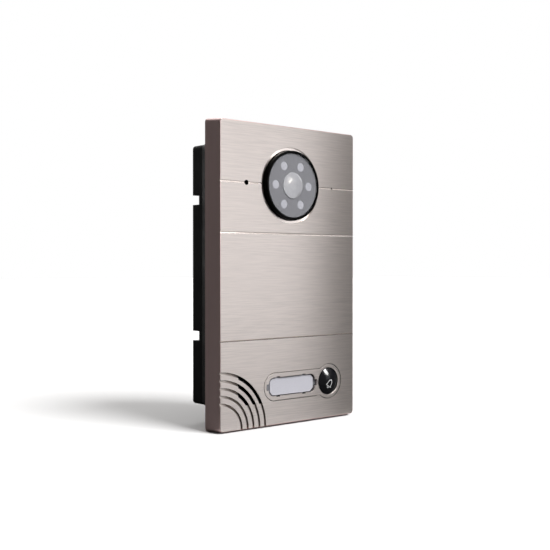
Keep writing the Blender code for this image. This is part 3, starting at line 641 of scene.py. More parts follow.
MATERIALS = {
    "brushed": brushed_alloy(),
    "side": side_alloy(),
    "turned": turned_alloy(),
    "polished": polished_alloy(),
    "gloss": glossy_black(),
    "window": smoked_window(),
    "lens": frosted_lens(),
    "card": card_paper(),
    "laminate": laminate(),
    "ink": icon_ink(),
    # The camera barrel's own black plastic; the faceplate's hole walls, slot walls and pocket floors also get
    # it as painted shade.
    "barrel": grained("barrel_black", (0.0012, 0.0012, 0.0012), 0.4, bump=0.004,
                      specular_ior_level=0.06),
    "grey": grained("seal_grey", (0.19, 0.19, 0.20), 0.6, spread=0.08, bump=0.01),
    "housing": grained("housing_black", (0.0030, 0.0030, 0.0031), 0.55, grain=2400.0, bump=0.03,
                       specular_ior_level=0.18),
    "black": grained("black_plastic", (0.012, 0.012, 0.012), 0.5),
    "mask": grained("mask_grey", (0.126, 0.125, 0.132), 0.42, spread=0.04, bump=0.006),
    "white": grained("white_plastic", (0.70, 0.70, 0.69), 0.45, spread=0.04),
    "rubber": grained("seal_rubber", (0.018, 0.018, 0.018), 0.8, grain=1200.0, bump=0.04),
    "foam": grained("gasket_foam", (0.035, 0.035, 0.036), 0.95, spread=0.35, grain=1500.0, bump=0.15),
    "steel": grained("zinc_steel", (0.56, 0.56, 0.57), 0.3, metallic=1.0, grain=1400.0, bump=0.006),
    "tin": grained("tin_plate", (0.60, 0.60, 0.59), 0.28, metallic=1.0, spread=0.06, grain=700.0, bump=0.004),
    # Painted shade: a darker copy of the face alloy, for the faceplate's inside and its deep walls.
    "painted_shade_metal": grained("cast_alloy", (0.42, 0.40, 0.38), 0.5, metallic=1.0, grain=900.0, bump=0.02),
    "cone": grained("cone_paper", (0.030, 0.030, 0.032), 0.85, grain=1300.0, bump=0.05),
    "green": grained("terminal_green", (0.035, 0.24, 0.085), 0.45, spread=0.06),
    "blue": grained("relay_blue", (0.03, 0.10, 0.35), 0.40, spread=0.06),
    "gold": grained("contact_gold", (0.83, 0.62, 0.27), 0.25, metallic=1.0, bump=0.003),
    "clear": grained("clear_epoxy", (0.37, 0.37, 0.39), 0.3, spread=0.05, bump=0.002,
                     specular_ior_level=0.3),
}


# ---- faceplate

def groove_tool(height, half, deep):
    """V-shaped cutter across the face, deepest above its middle; its sides run on past the face."""
    reach = FACE_WIDTH / 2 + 2
    lowest = 0.5 * half
    section = [(deep, lowest), (-deep, -2 * half - lowest), (-deep, 2 * half - lowest)]
    return solid("tool_groove", [[(x, FACE_Y + depth, height + z) for depth, z in section]
                                 for x in (-reach, reach)])


def grille_at():
    return FACE_FLARE - FACE_WIDTH / 2, FACE_FLARE


def arc_tool(radius, steps=72):
    """Shallow arc with a steep outer wall and an inner wall that slopes up to the face."""
    centre_x, centre_z = grille_at()
    inner = radius - GRILLE_WIDTH
    section = [(radius, -1.0), (radius, GRILLE_DEPTH), (radius - 0.25, GRILLE_DEPTH), (inner, 0.0),
               (inner, -1.0)]
    rings = []
    for step in range(steps + 1):
        turn = math.radians(-8 + 106 * step / steps)
        rings.append([(centre_x + reach * math.cos(turn), FACE_Y + depth,
                       centre_z + reach * math.sin(turn)) for reach, depth in section])
    return solid("tool_arc", rings)


def upright(name, x, y, sections):
    """Body around the Z direction through (outline, height) sections."""
    return solid(name, [[(x + px, y + py, height) for px, py in outline] for outline, height in sections])


def mouthed(outlines, at, chamfer, end):
    """Straight cutter whose mouth is chamfered; outlines are the wide and the true one."""
    wide, true = outlines
    return loft("tool_mouth", [(wide, -1.0), (wide, 0.0), (true, chamfer), (true, end)], at)


def corner_places():
    reach_x, reach_z = FACE_WIDTH / 2 - 7.6, FACE_HEIGHT / 2 - 7.6
    return [(x, MID_Z + z) for x in (-reach_x, reach_x) for z in (-reach_z, reach_z)]


def faceplate_body():
    flare = FACE_FLARE * (1 - FACE_EDGE / FACE_DEPTH)
    steps = 6
    edge = []
    for step in range(steps + 1):
        turn = math.pi / 2 * step / steps
        cut = FACE_EDGE * (1 - math.cos(turn))
        edge.append((rim(flare + cut, FACE_CORNER - cut), FACE_EDGE * (1 - math.sin(turn))))
    sections = [
        (rim(SHELF_INSET, 1.5), FRONT_WALL),
        (rim(SHELF_INSET, 1.5), SHELF_DEPTH),
        (rim(SIDE_WALL, 1.0), SHELF_DEPTH),
        (rim(SIDE_WALL, 1.0), FACE_DEPTH),
        (rim(0.25, FACE_CORNER), FACE_DEPTH),
        (rim(0.0, FACE_CORNER), FACE_DEPTH - 0.25),
        *edge,
    ]
    return loft("alloy_faceplate", sections, (0.0, MID_Z))


def camera_tool():
    bore = BARREL_RADIUS + GAP
    lip = 0.1
    profile = [(RECESS_RADIUS + lip, -1.0), (RECESS_RADIUS + lip, 0.0), (RECESS_RADIUS, lip),
               (RECESS_RADIUS, RECESS_STEP), (bore + lip, RECESS_STEP), (bore, RECESS_STEP + lip),
               (bore, FRONT_WALL + 1.0)]
    return turned("tool_camera", profile, CAMERA_AT, 160)


def faceplate():
    body = faceplate_body()
    bosses = [turned("tool_boss", [(3.2, FRONT_WALL - 0.5), (3.2, SHELF_DEPTH - 0.1)], place, 32)
              for place in corner_places()]
    carve(body, bosses, "UNION")
    tools = [turned("tool_pilot", [(SCREW_RADIUS + GAP, FRONT_WALL + 0.8),
                                   (SCREW_RADIUS + GAP, FACE_DEPTH)], place, 24)
             for place in corner_places()]
    tools += [groove_tool(*groove) for groove in GROOVES]
    tools.append(camera_tool())
    for x, radius in ((-SENSOR_X, MIC_HOLE), (SENSOR_X, SENSOR_HOLE)):
        tools.append(turned("tool_hole", [(radius, -1.0), (radius, FRONT_WALL + 1.0)],
                            (x, CAMERA_AT[1]), 48))
    trim_at = (0.0, BUTTON_AT[1])
    floor = TRIM_THICKNESS + GAP
    tools.append(mouthed((keyhole(GAP + 0.12), keyhole(GAP)), trim_at, 0.12, floor))
    tools.append(plate("tool_guide", rounded_rect(GUIDE_SIZE[0] + 2 * GAP, GUIDE_SIZE[1] + 2 * GAP, 0.0),
                       floor - 0.5, FRONT_WALL + 1.0, NAME_AT))
    tools.append(turned("tool_button", [(9.9, floor - 0.5), (9.9, FRONT_WALL + 1.0)], BUTTON_AT))
    tools += [arc_tool(radius) for radius in GRILLE_RADII]
    tools += [plate("tool_slot", slot_outline(radius), -1.0, FRONT_WALL + 1.0, grille_at())
              for radius in GRILLE_RADII[:SLOT_COUNT]]
    lock_x = centre("lock_screw_right")[0]
    lock_hole = circle(SCREW_RADIUS + GAP, 32)
    tools += [upright("tool_lock", side * lock_x, FACE_Y + LOCK_SCREW_DEPTH,
                      [(lock_hole, -1.0), (lock_hole, SIDE_WALL + 1.0)]) for side in (-1, 1)]
    carve(body, tools)
    finish_alloy(body)
    shaded(body, 18)
    dressed(body, "panel", "brushed_alloy", None, "faceplate")


def finish_alloy(body):
    """Gives the face, the sides, the cut edges and the inside their alloy finishes, with painted shade: a
    darker alloy inside and on deep walls, near-black in holes, slots and pocket floors, and a lighter alloy
    on the grooves' upward sides as painted light.
    """
    keys = ("brushed", "side", "polished", "painted_shade_metal", "turned", "barrel")
    mesh = body.data
    mesh.materials.clear()
    for key in keys:
        mesh.materials.append(MATERIALS[key])
    for polygon in mesh.polygons:
        polygon.material_index = keys.index(alloy_key(polygon))
    brush_map(mesh)


def alloy_key(polygon):
    """Finish of one of the faceplate's faces, by where it is and where it looks; hidden and deep faces get
    painted shade, upward-facing groove sides painted light.
    """
    place = polygon.center / MM
    depth = place.y - FACE_Y
    reach = math.hypot(place.x - CAMERA_AT[0], place.z - CAMERA_AT[1])
    margin = FACE_EDGE + 0.3
    flat = polygon.normal.y < -0.999
    if in_grille(place) and depth < GRILLE_DEPTH and -0.999 < polygon.normal.y < -0.8:
        return "brushed"
    within = (abs(place.x) < FACE_WIDTH / 2 - FACE_FLARE - margin
              and FACE_FLARE + margin < place.z < FACE_HEIGHT - FACE_FLARE - margin)
    if flat and depth < 0.3:
        return "brushed"
    if not within:
        return "side"
    # Painted shade: faces inside the shell get the darker copy of the alloy.
    if depth > FRONT_WALL - 0.05:
        return "painted_shade_metal"
    if flat and reach < RECESS_RADIUS:
        return "turned"
    # Painted shade: the walls of the mic and sensor holes are painted near-black.
    if math.dist((abs(place.x), place.z), (SENSOR_X, CAMERA_AT[1])) < MIC_HOLE + 0.5:
        return "barrel"
    # Painted shade: the walls of the slots through the metal are painted near-black.
    if in_grille(place):
        return "brushed" if depth < GRILLE_DEPTH else "barrel"
    # Painted light: the grooves' upward-facing sides get the lighter polished alloy, the downward-facing ones
    # the face's brushed alloy.
    if any(abs(place.z - height) < half for height, half, deep in GROOVES):
        return "polished" if polygon.normal.z > 0.2 else "brushed"
    # Painted shade: the remaining flat faces, the pocket floors, are painted near-black.
    if flat:
        return "barrel"
    # Painted shade: walls deeper than 1 mm get the darker alloy copy, shallower walls the polished alloy.
    return "polished" if depth < 1.0 else "painted_shade_metal"


def in_grille(place):
    centre_x, centre_z = grille_at()
    return math.hypot(place.x - centre_x, place.z - centre_z) < GRILLE_RADII[0] + 1.0


def brush_map(mesh):
    """UV map whose U runs across the brush lines: up the face, outwards on the camera's ledge,
    and along the depth of the sides."""
    layer = mesh.uv_layers.new(name="brush")
    for polygon in mesh.polygons:
        place = polygon.center / MM
        facing = abs(polygon.normal.y) > 0.6
        out = Vector((place.x - CAMERA_AT[0], 0.0, place.z - CAMERA_AT[1]))
        ledge = facing and out.length < RECESS_RADIUS and place.y - FACE_Y > GROOVES[0][2] + 0.1
        out.normalize()
        round_it = Vector((-out.z, 0.0, out.x))
        for index in polygon.loop_indices:
            point = mesh.vertices[mesh.loops[index].vertex_index].co
            along = point.x if abs(polygon.normal.x) < 0.6 else point.z
            if ledge:
                layer.data[index].uv = (point.dot(out), point.dot(round_it))
            else:
                layer.data[index].uv = (point.z, point.x) if facing else (point.y, along)


# ---- trim, name window and button

def trim_bezel():
    edge = 0.3
    body = loft("alloy_trim", [
        (keyhole(-edge), 0.0), (keyhole(-edge * 0.3), 0.07), (keyhole(), edge),
        (keyhole(), TRIM_THICKNESS)], (0.0, BUTTON_AT[1]))
    end = TRIM_THICKNESS + 1.0
    rim_cut = 0.25
    name_true = rounded_rect(*NAME_SIZE, NAME_CORNER, 24)
    name_wide = rounded_rect(NAME_SIZE[0] + 2 * rim_cut, NAME_SIZE[1] + 2 * rim_cut,
                             NAME_CORNER + rim_cut, 24)
    ring = BUTTON_RADIUS + GAP
    tools = [
        mouthed((name_wide, name_true), NAME_AT, rim_cut, end),
        plate("tool_ears", rounded_rect(*EAR_SIZE, 0.6, 6), -1.0, end, NAME_AT),
        turned("tool_ring", [(ring + 0.55, -1.0), (ring + 0.55, 0.0), (ring + 0.15, 0.22),
                             (ring, 0.6), (ring, end)], BUTTON_AT, 128),
    ]
    tools += [plate("tool_clip", rounded_rect(*CLIP_SIZE, 0.0), -1.0, end, (x, NAME_AT[1]))
              for x in CLIP_X]
    carve(body, tools)
    mesh = body.data
    mesh.materials.clear()
    for key in ("brushed", "polished"):
        mesh.materials.append(MATERIALS[key])
    for polygon in mesh.polygons:
        polygon.material_index = 0 if polygon.normal.y < -0.3 else 1
    brush_map(mesh)
    shaded(body)
    dressed(body, "panel", "brushed_alloy", None, "trim_bezel")


def name_window():
    front, back = depths("name_window")
    window = rounded_rect(NAME_SIZE[0] - 2 * GAP, NAME_SIZE[1] - 2 * GAP, NAME_CORNER - GAP, 24)
    inner = rounded_rect(NAME_SIZE[0] - 2 * GAP - 0.3, NAME_SIZE[1] - 2 * GAP - 0.3,
                         NAME_CORNER - GAP - 0.15, 24)
    body = loft("clear_name_window", [(inner, front), (window, front + 0.15), (window, back)], NAME_AT)
    ears = rounded_rect(EAR_SIZE[0] - 2 * GAP, EAR_SIZE[1] - 2 * GAP, 0.3, 4)
    carve(body, [plate("tool_window_ears", ears, front + 0.1, back - 0.1, NAME_AT)], "UNION")
    shaded(body)
    dressed(body, "panel", "clear_cover", MATERIALS["window"], "name_window")


def name_card():
    width, height = span("name_card")
    front, back = depths("name_card")
    body = plate("paper_name_card", chamfered_rect(width, height, CARD_CHAMFER), front, back,
                 centre("name_card"))
    softened(body, 0.08)
    shaded(body)
    dressed(body, "panel", "card_paper", MATERIALS["card"], "name_card")


BUTTON_PROFILE = [(1.5, -1.85), (3.6, -1.58), (5.4, -1.0), (7.2, -0.28), (8.55, 0.4)]


def button_depth(reach):
    """Depth of the button's dome at a distance from its middle."""
    top = BUTTON_PROFILE[0][1] - 0.03
    points = [(0.0, top)] + BUTTON_PROFILE
    for (near, near_depth), (far, far_depth) in zip(points, points[1:]):
        if reach <= far:
            return near_depth + (far_depth - near_depth) * (reach - near) / (far - near)
    return points[-1][1]


def call_button():
    """Glossy dome with a flange behind the trim and a stem that reaches the switch."""
    flange, flange_radius, flange_back = TRIM_THICKNESS + GAP, 9.6, TRIM_THICKNESS + GAP + 1.0
    stem, stem_end = 3.0, 6.6
    dome = [(0.4, -1.88)] + smooth_profile(BUTTON_PROFILE, 8)[4:]
    profile = dome + [(BUTTON_RADIUS, flange), (flange_radius, flange), (flange_radius, flange_back),
                      (stem, flange_back), (stem, stem_end)]
    body = shaded(turned("button_cap", profile, BUTTON_AT, 128), 50)
    dressed(body, "call_button", "button_black", MATERIALS["gloss"], "call_button")


def camera_barrel():
    """Black barrel with a rounded front edge, a flange behind the metal and a seat for the cover."""
    front, back = depths("camera_barrel")
    seat, seat_depth, tube, bore = WINDOW_RADIUS + GAP, 1.1, 20.5, 18.5
    flange, flange_front, flange_back = 25.5, FRONT_WALL + GAP, 5.8
    edge = 0.5
    profile = [(seat, front + 0.1), (seat + 0.1, front),
               *rounding(BARREL_RADIUS - edge, front, BARREL_RADIUS, front + edge),
               (BARREL_RADIUS, flange_front), (flange, flange_front), (flange, flange_back),
               (tube, flange_back), (tube, back), (bore, back), (bore, seat_depth), (seat, seat_depth)]
    body = shaded(turned("barrel", profile, CAMERA_AT, 128, True))
    dressed(body, "panel", "camera_black", MATERIALS["barrel"], "camera_barrel")


def camera_window():
    """Clear cover with rounded edges and a hole that the lens stands in."""
    front, back = depths("camera_window")
    hole = LENS_RADIUS + GAP
    profile = [(hole, back), (hole, front + 0.08), (hole + 0.08, front), (WINDOW_RADIUS - 0.12, front),
               (WINDOW_RADIUS, front + 0.12), (WINDOW_RADIUS, back)]
    body = shaded(turned("camera_cover", profile, CAMERA_AT, 128, True))
    dressed(body, "panel", "camera_window", MATERIALS["window"], "camera_window")


def led_places():
    for index in range(LED_COUNT):
        turn = math.tau * index / LED_COUNT
        yield (CAMERA_AT[0] + LED_CIRCLE * math.cos(turn), CAMERA_AT[1] + LED_CIRCLE * math.sin(turn))


def camera_mask():
    """Grey disc behind the cover, with a hole for the lens and one for each lamp."""
    front, back = depths("camera_mask")
    hole = LENS_RADIUS + GAP
    profile = [(WINDOW_RADIUS, front), (WINDOW_RADIUS, back), (hole, back), (hole, front)]
    body = turned("mask", profile, CAMERA_AT, 128, True)
    carve(body, [turned("tool_lamp", [(LED_HOLE, front - 1.0), (LED_HOLE, back + 1.0)], place, 48)
                 for place in led_places()])
    shaded(body)
    dressed(body, "panel", "camera_grey", MATERIALS["mask"], "camera_mask")


def lens_dome():
    """Pale lens: a very shallow dome that fills the cover's hole, on a wider foot."""
    front, back = depths("lens_dome")
    reach = LENS_RADIUS + GAP - 0.03
    foot, foot_depth, steps = 9.4, 0.1, 16
    profile = []
    for step in range(1, steps + 1):
        radius = reach * step / steps
        profile.append((radius, front + LENS_CURVE - math.sqrt(LENS_CURVE ** 2 - radius ** 2)))
    profile += [(reach, foot_depth), (foot, foot_depth), (foot, back)]
    body = shaded(turned("lens", profile, CAMERA_AT, 96), 50)
    dressed(body, "panel", "lens_cover", MATERIALS["lens"], "lens_dome")


def infrared_lamps():
    """Domed clear lamps that fill the mask's holes."""
    for index, place in enumerate(led_places(), 1):
        front, back = depths(f"ir_led_{index}")
        edge, collar, collar_depth = LED_HOLE - 0.02, 2.9, 7.4
        turns = [math.radians(turn) for turn in range(15, 91, 15)]
        dome = [(edge * math.sin(turn), front + LED_SAG * (1 - math.cos(turn))) for turn in turns]
        profile = [(0.3, front), *dome, (edge, collar_depth), (collar, collar_depth), (collar, back)]
        body = shaded(turned(f"lamp_{index}", profile, place, 40), 50)
        dressed(body, "panel", "led_lens", MATERIALS["clear"], f"ir_led_{index}")


BELL = {
    "dome": [(-1.0, -0.75), (-0.78, -0.35), (-0.66, 0.35), (-0.48, 0.85), (0.0, 1.12), (0.48, 0.85),
             (0.66, 0.35), (0.78, -0.35), (1.0, -0.75), (-1.0, -0.75)],
    "clapper": [(-0.32, -0.98), (-0.2, -1.2), (0.0, -1.28), (0.2, -1.2), (0.32, -0.98)],
    "knob": [(0.0, 1.12), (0.0, 1.42)],
}
BELL_SIZE = 2.3
BELL_TILT = -32.0
BELL_AT = (-0.6, -1.6)
BELL_STROKE = 0.34


def bell_icon():
    """Plain printed bell outline that follows the button's dome."""
    under, over = -0.07, 0.02
    tilt = math.radians(BELL_TILT)
    shape = bmesh.new()
    for line in BELL.values():
        points = smooth_profile(line, 6) if len(line) > 2 else line
        rows = []
        for index, (x, z) in enumerate(points):
            before, after = points[max(index - 1, 0)], points[min(index + 1, len(points) - 1)]
            length = math.dist(before, after) or 1.0
            side = ((before[1] - after[1]) / length, (after[0] - before[0]) / length)
            row = []
            for share in (-0.5, 0.5):
                px = x * BELL_SIZE + side[0] * share * BELL_STROKE
                pz = z * BELL_SIZE + side[1] * share * BELL_STROKE
                qx = BELL_AT[0] + px * math.cos(tilt) - pz * math.sin(tilt)
                qz = BELL_AT[1] + px * math.sin(tilt) + pz * math.cos(tilt)
                for lift in (under, over):
                    depth = button_depth(math.hypot(qx, qz)) + lift
                    row.append(shape.verts.new(((BUTTON_AT[0] + qx) * MM, (FACE_Y + depth) * MM,
                                                (BUTTON_AT[1] + qz) * MM)))
            rows.append((row[0], row[1], row[3], row[2]))
        for near, far in zip(rows, rows[1:]):
            for corner in range(4):
                after = (corner + 1) % 4
                shape.faces.new((near[corner], near[after], far[after], far[corner]))
        shape.faces.new(rows[0])
        shape.faces.new(rows[-1])
    bmesh.ops.recalc_face_normals(shape, faces=shape.faces)
    mesh = bpy.data.meshes.new("bell_icon")
    shape.to_mesh(mesh)
    shape.free()
    body = new_object("bell_icon", mesh)
    body.data.shade_smooth()
    body.data.set_sharp_from_angle(angle=math.radians(40))
    dressed(body, "call_button", "diffuser_white", MATERIALS["ink"])


# ---- rear housing, seals and fasteners

def housing_outline(grow, radius):
    half_x, half_z = HOUSING_HALF
    return rounded_rect(2 * (half_x + grow), 2 * (half_z + grow), radius)


def rear_housing():
    """Black tub with a flange, a shoulder, four catch notches and the windows in its back."""
    near, far = SHOULDER
    front, back = FLANGE_DEPTHS
    wall, wide, edge = HOUSING_WALL, HOUSING_FLARE, 0.8
    sections = [
        (housing_outline(-wall, 1.5), BACK_DEPTH - wall),
        (housing_outline(-wall, 1.5), far),
        (housing_outline(wide - wall, 4.0), near),
        (housing_outline(wide - wall, 4.0), front),
        (rim(FLANGE_INSET, 1.0, 10), front),
        (rim(FLANGE_INSET, 1.0, 10), back),
        (housing_outline(wide, 6.0), back),
        (housing_outline(wide, 6.0), near - 0.4),
        (housing_outline(wide - 0.15, 5.9), near + 0.2),
        (housing_outline(0.15, 2.7), far - 0.2),
        (housing_outline(0.0, 2.5), far + 0.4),
    ]
    for step in range(5):
        turn = math.pi / 2 * step / 4
        sections.append((housing_outline(-edge * (1 - math.cos(turn)), 2.5 - 0.5 * step / 4),
                         BACK_DEPTH - edge * (1 - math.sin(turn))))
    body = loft("black_housing", sections, (0.0, MID_Z))
    notch_walls, notch_spaces = [], []
    for side in (-1, 1):
        for height in NOTCH_HEIGHTS:
            inner = HOUSING_HALF[0] - NOTCH_WIDE
            low, high = inner - wall, HOUSING_HALF[0] - 1.0
            notch_walls.append(plate(
                "tool_notch_wall", rounded_rect(high - low, 2 * (NOTCH_HALF_HEIGHT + wall), 0.0),
                BACK_DEPTH - NOTCH_DEEP - wall, BACK_DEPTH - 1.0, (side * (low + high) / 2, height)))
            notch_spaces.append(plate(
                "tool_notch", rounded_rect(NOTCH_WIDE + 2.0, 2 * NOTCH_HALF_HEIGHT, 0.4, 4),
                BACK_DEPTH - NOTCH_DEEP, BACK_DEPTH + 2.0,
                (side * (inner + HOUSING_HALF[0] + 2.0) / 2, height)))
    carve(body, notch_walls, "UNION")
    through = (BACK_DEPTH - wall - 1.0, BACK_DEPTH + 1.0)
    jack, terminal = span("ethernet_jack"), span("terminal_block")
    tools = notch_spaces + [
        plate("tool_jack", rounded_rect(jack[0] + 1.0, jack[1] + 1.0, 0.8), *through,
              centre("ethernet_jack")),
        plate("tool_terminal", rounded_rect(terminal[0] + 2.0, terminal[1] + 2.0, 0.8), *through,
              centre("terminal_block")),
        turned("tool_tamper", [(span("tamper_plunger")[0] / 2 + 0.4, depth) for depth in through],
               centre("tamper_plunger"), 40),
    ]
    tools += [turned("tool_flange", [(1.6, front - 1.0), (1.6, back + 1.0)], place, 32)
              for place in corner_places()]
    carve(body, tools)
    softened(body, 0.12, 1, 50)
    shaded(body, 30)
    dressed(body, "panel", "housing_black", MATERIALS["housing"], "rear_housing")


def wall_gasket():
    """Foam ring that seals the rim against the wall."""
    front, back = depths("wall_gasket")
    inner_grow = HOUSING_FLARE + 0.4
    outer = rim(6.8, 10.0, 10)
    outer_soft = rim(7.1, 9.7, 10)
    inner = housing_outline(inner_grow, 6.4)
    inner_soft = housing_outline(inner_grow + 0.3, 6.7)
    body = loft("foam_ring", [(outer, front), (outer, back - 0.3), (outer_soft, back), (inner_soft, back),
                              (inner, back - 0.3), (inner, front)], (0.0, MID_Z), True)
    shaded(body, 60)
    dressed(body, "panel", "seal_foam", MATERIALS["foam"], "wall_gasket")


def hexagon_socket(radius, top, floor, at):
    """Cutter for a hexagon socket that looks to the back, with a small chamfer at its mouth."""
    chamfer = 0.15
    return loft("tool_socket", [(hexagon(radius + chamfer), top), (hexagon(radius), top - chamfer),
                                (hexagon(radius), floor)], at)


def flange_screw(node):
    """Pan-head screw with a hexagon socket; its head looks to the back."""
    place = centre(node)
    tip, top = depths(node)
    head = span(node)[0] / 2
    seat, curve, point = top - 1.8, 0.7, 0.4
    profile = [(0.2, top), *rounding(head - curve, top, head, top - curve), (head, seat + 0.1),
               (head - 0.1, seat), (SCREW_RADIUS, seat), (SCREW_RADIUS, tip + point),
               (SCREW_RADIUS - point, tip)]
    body = turned(f"bolt_{node}", profile, place, 48)
    carve(body, [hexagon_socket(1.1, top + 0.01, top - 1.0, place)])
    shaded(body)
    dressed(body, "panel", "bright_steel", MATERIALS["steel"], node)


def network_jack():
    """Tin-plated shell with its socket, the latch groove and eight gilt contacts."""
    place = centre("ethernet_jack")
    width, height = span("ethernet_jack")
    front, back = depths("ethernet_jack")
    socket_width, socket_height, socket_deep = 11.8, 8.2, 12.5
    shell = plate("jack_shell", rounded_rect(width, height, 0.5, 4), front, back, place)
    tools = [
        mouthed_back((socket_width, socket_height), back, socket_deep, place),
        plate("tool_latch", rounded_rect(6.0, 2.0, 0.2, 2), back - socket_deep, back + 1.0,
              (place[0], place[1] - socket_height / 2 - 0.6)),
    ]
    carve(shell, tools)
    softened(shell, 0.1, 1, 50)
    shell.data.materials.append(MATERIALS["tin"])
    contacts = []
    count, pitch, wide, thick = 8, 1.02, 0.4, 0.25
    level = place[1] + socket_height / 2 - 0.02
    for index in range(count):
        x = place[0] + (index - (count - 1) / 2) * pitch
        rings = []
        for share in (0.0, 0.25, 0.5, 0.75, 1.0):
            depth = back - 2.0 - 8.0 * share
            drop_by = 2.4 * math.sin(math.pi * share * 0.5)
            top, bottom = level - drop_by, level - drop_by - thick
            rings.append([(x + side * wide / 2, FACE_Y + depth, height) for side, height in
                          ((-1, top), (1, top), (1, bottom), (-1, bottom))])
        contact = solid(f"contact_{index}", rings)
        contact.data.materials.append(MATERIALS["gold"])
        contacts.append(contact)
    body = joined("network_jack", [shell, *contacts])
    shaded(body)
    dressed(body, "panel", "jack_shield", None, "ethernet_jack")


def mouthed_back(size, back, deep, at):
    """Rectangular cutter that enters from the back, with a chamfered mouth."""
    wide = rounded_rect(size[0] + 0.5, size[1] + 0.5, 0.4, 4)
    true = rounded_rect(size[0], size[1], 0.3, 4)
    return loft("tool_socket_mouth", [(wide, back + 1.0), (wide, back), (true, back - 0.25),
                                      (true, back - deep)], at)


def terminal_block():
    """Green block with a wire entry and a clamp screw for each way."""
    place = centre("terminal_block")
    width, height = span("terminal_block")
    front, back = depths("terminal_block")
    ways = 8
    pitch = width / ways
    block = plate("terminal_body", rounded_rect(width, height, 0.3, 2), front, back, place)
    entries, clamps = [], []
    for way in range(ways):
        x = place[0] + pitch * (way + 0.5) - width / 2
        entries.append(mouthed_back((2.7, 3.4), back, 7.0, (x, place[1])))
        if way:
            edge_x = x - pitch / 2
            entries.append(plate("tool_split", rounded_rect(0.25, height + 2.0, 0.0), back - 0.3, back + 1.0,
                                 (edge_x, place[1])))
        clamp = plate(f"clamp_{way}", rounded_rect(2.3, 1.1, 0.1, 2), back - 6.8, back - 1.6,
                      (x, place[1] + 1.1))
        clamp.data.materials.append(MATERIALS["steel"])
        clamps.append(clamp)
    carve(block, entries)
    softened(block, 0.12, 1, 50)
    block.data.materials.append(MATERIALS["green"])
    body = joined("wire_terminals", [block, *clamps])
    shaded(body)
    dressed(body, "panel", "terminal_green", None, "terminal_block")


def tamper_pin():
    """Pin that the wall box holds in while the panel is mounted."""
    front, back = depths("tamper_plunger")
    radius = span("tamper_plunger")[0] / 2
    profile = [(0.2, front), (radius, front), (radius, back - 0.8), (radius - 0.1, back - 0.45),
               (radius - 0.35, back - 0.15), (radius - 0.8, back)]
    body = shaded(turned("tamper_pin", profile, centre("tamper_plunger"), 40), 50)
    dressed(body, "tamper", "diffuser_white", MATERIALS["white"], "tamper_plunger")


def lock_screw(node):
    """Headless screw in the bottom edge, with a hexagon socket that looks down."""
    low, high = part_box(node)
    x, y = (low.x + high.x) / 2 / MM, (low.y + high.y) / 2 / MM
    bottom, top = low.z / MM, high.z / MM
    profile = [(SCREW_RADIUS - 0.2, bottom), (SCREW_RADIUS, bottom + 0.25), (SCREW_RADIUS, top - 0.4),
               (SCREW_RADIUS - 0.3, top)]
    body = upright(f"set_{node}", x, y, [(circle(radius, 32), height) for radius, height in profile])
    socket = hexagon(0.7)
    carve(body, [upright("tool_hexagon", x, y, [(socket, bottom - 1.0), (socket, bottom + 1.2)])])
    shaded(body)
    dressed(body, "panel", "bright_steel", MATERIALS["steel"], node)


def build_object():
    faceplate()
    trim_bezel()
    name_window()
    name_card()
    call_button()
    bell_icon()
    camera_barrel()
    camera_window()
    camera_mask()
    lens_dome()
    infrared_lamps()
    rear_housing()
    wall_gasket()
    network_jack()
    terminal_block()
    tamper_pin()
    for name in NODES:
        if name.startswith("housing_screw"):
            flange_screw(name)
        elif name.startswith("lock_screw"):
            lock_screw(name)


# ---- surfaces of the carried-over nodes

NODE_FINISHES = {
    "barrel": ["lens_barrel"],
    "rubber": ["window_gasket", "mic_boot", "speaker_gasket", "housing_gasket"],
    "grey": ["name_gasket"],
    "laminate": ["camera_board", "front_board", "main_board"],
    "white": ["camera_ribbon", "light_guide", "name_led_left", "name_led_right",
              "call_switch_plunger"],
    "black": ["light_sensor", "button_retainer", "call_switch_body", "speaker_frame",
              "board_connector", "tamper_switch", "transformer"],
    "cone": ["speaker_cone"],
    "steel": ["microphone", "speaker_magnet", "shield_can"],
    "blue": ["relay"],
    "gloss": ["capacitor_large", "capacitor_small", "light_pipe"],
}


def finish_nodes():
    """Gives every carried-over CAD node its procedural material."""
    for key, names in NODE_FINISHES.items():
        for name in names:
            NODES[name].material_slots[0].material = MATERIALS[key]
    for name, node in NODES.items():
        if name.startswith("board_screw"):
            node.material_slots[0].material = MATERIALS["steel"]


# ---- floor, lights and camera

FLOOR_SIZE = 12.0                # metres, as are the camera's and the lamps' places
FLOOR_SEEN = (0.64, 0.66)        # grey levels that the camera sees
FLOOR_FELT = (0.05, 0.34)        # grey levels that light the panel, away from the band and in it
FLOOR_BAND = (1.0, 7.0)          # distances from the face's plane over which the band fades
CAMERA_PLACE = Vector((-0.3896, -0.4601, 0.1014))
CAMERA_YAW = 40.603
CAMERA_PITCH = -0.532
CAMERA_LENS = 59.86


def floor():
    """Pale floor, far dimmer to the panel than to the camera, except in a band under the metal face."""
    shape = bmesh.new()
    bmesh.ops.create_grid(shape, x_segments=4, y_segments=4, size=FLOOR_SIZE / 2)
    mesh = bpy.data.meshes.new("floor")
    shape.to_mesh(mesh)
    shape.free()
    ground = new_object("floor", mesh)
    paint = Finish("floor_white", 0.9, specular_ior_level=0.0)
    seen = paint.mixed(paint.noise(3.0, 2.0), *((level,) * 3 for level in FLOOR_SEEN))
    path = paint.node("ShaderNodeLightPath")
    where = paint.node("ShaderNodeTexCoord")
    split = paint.node("ShaderNodeSeparateXYZ")
    paint.link(where.outputs["Object"], split.inputs[0])
    away = paint.maths("ABSOLUTE", paint.maths("SUBTRACT", split.outputs["Y"], FACE_Y * MM))
    near = paint.ranged(away, 1.0, 0.0, *(reach * MM for reach in FLOOR_BAND))
    felt = paint.mixed(near, *((level,) * 3 for level in FLOOR_FELT))
    paint.coloured(paint.mixed(path.outputs["Is Camera Ray"], felt, seen))
    mesh.materials.append(paint.material)


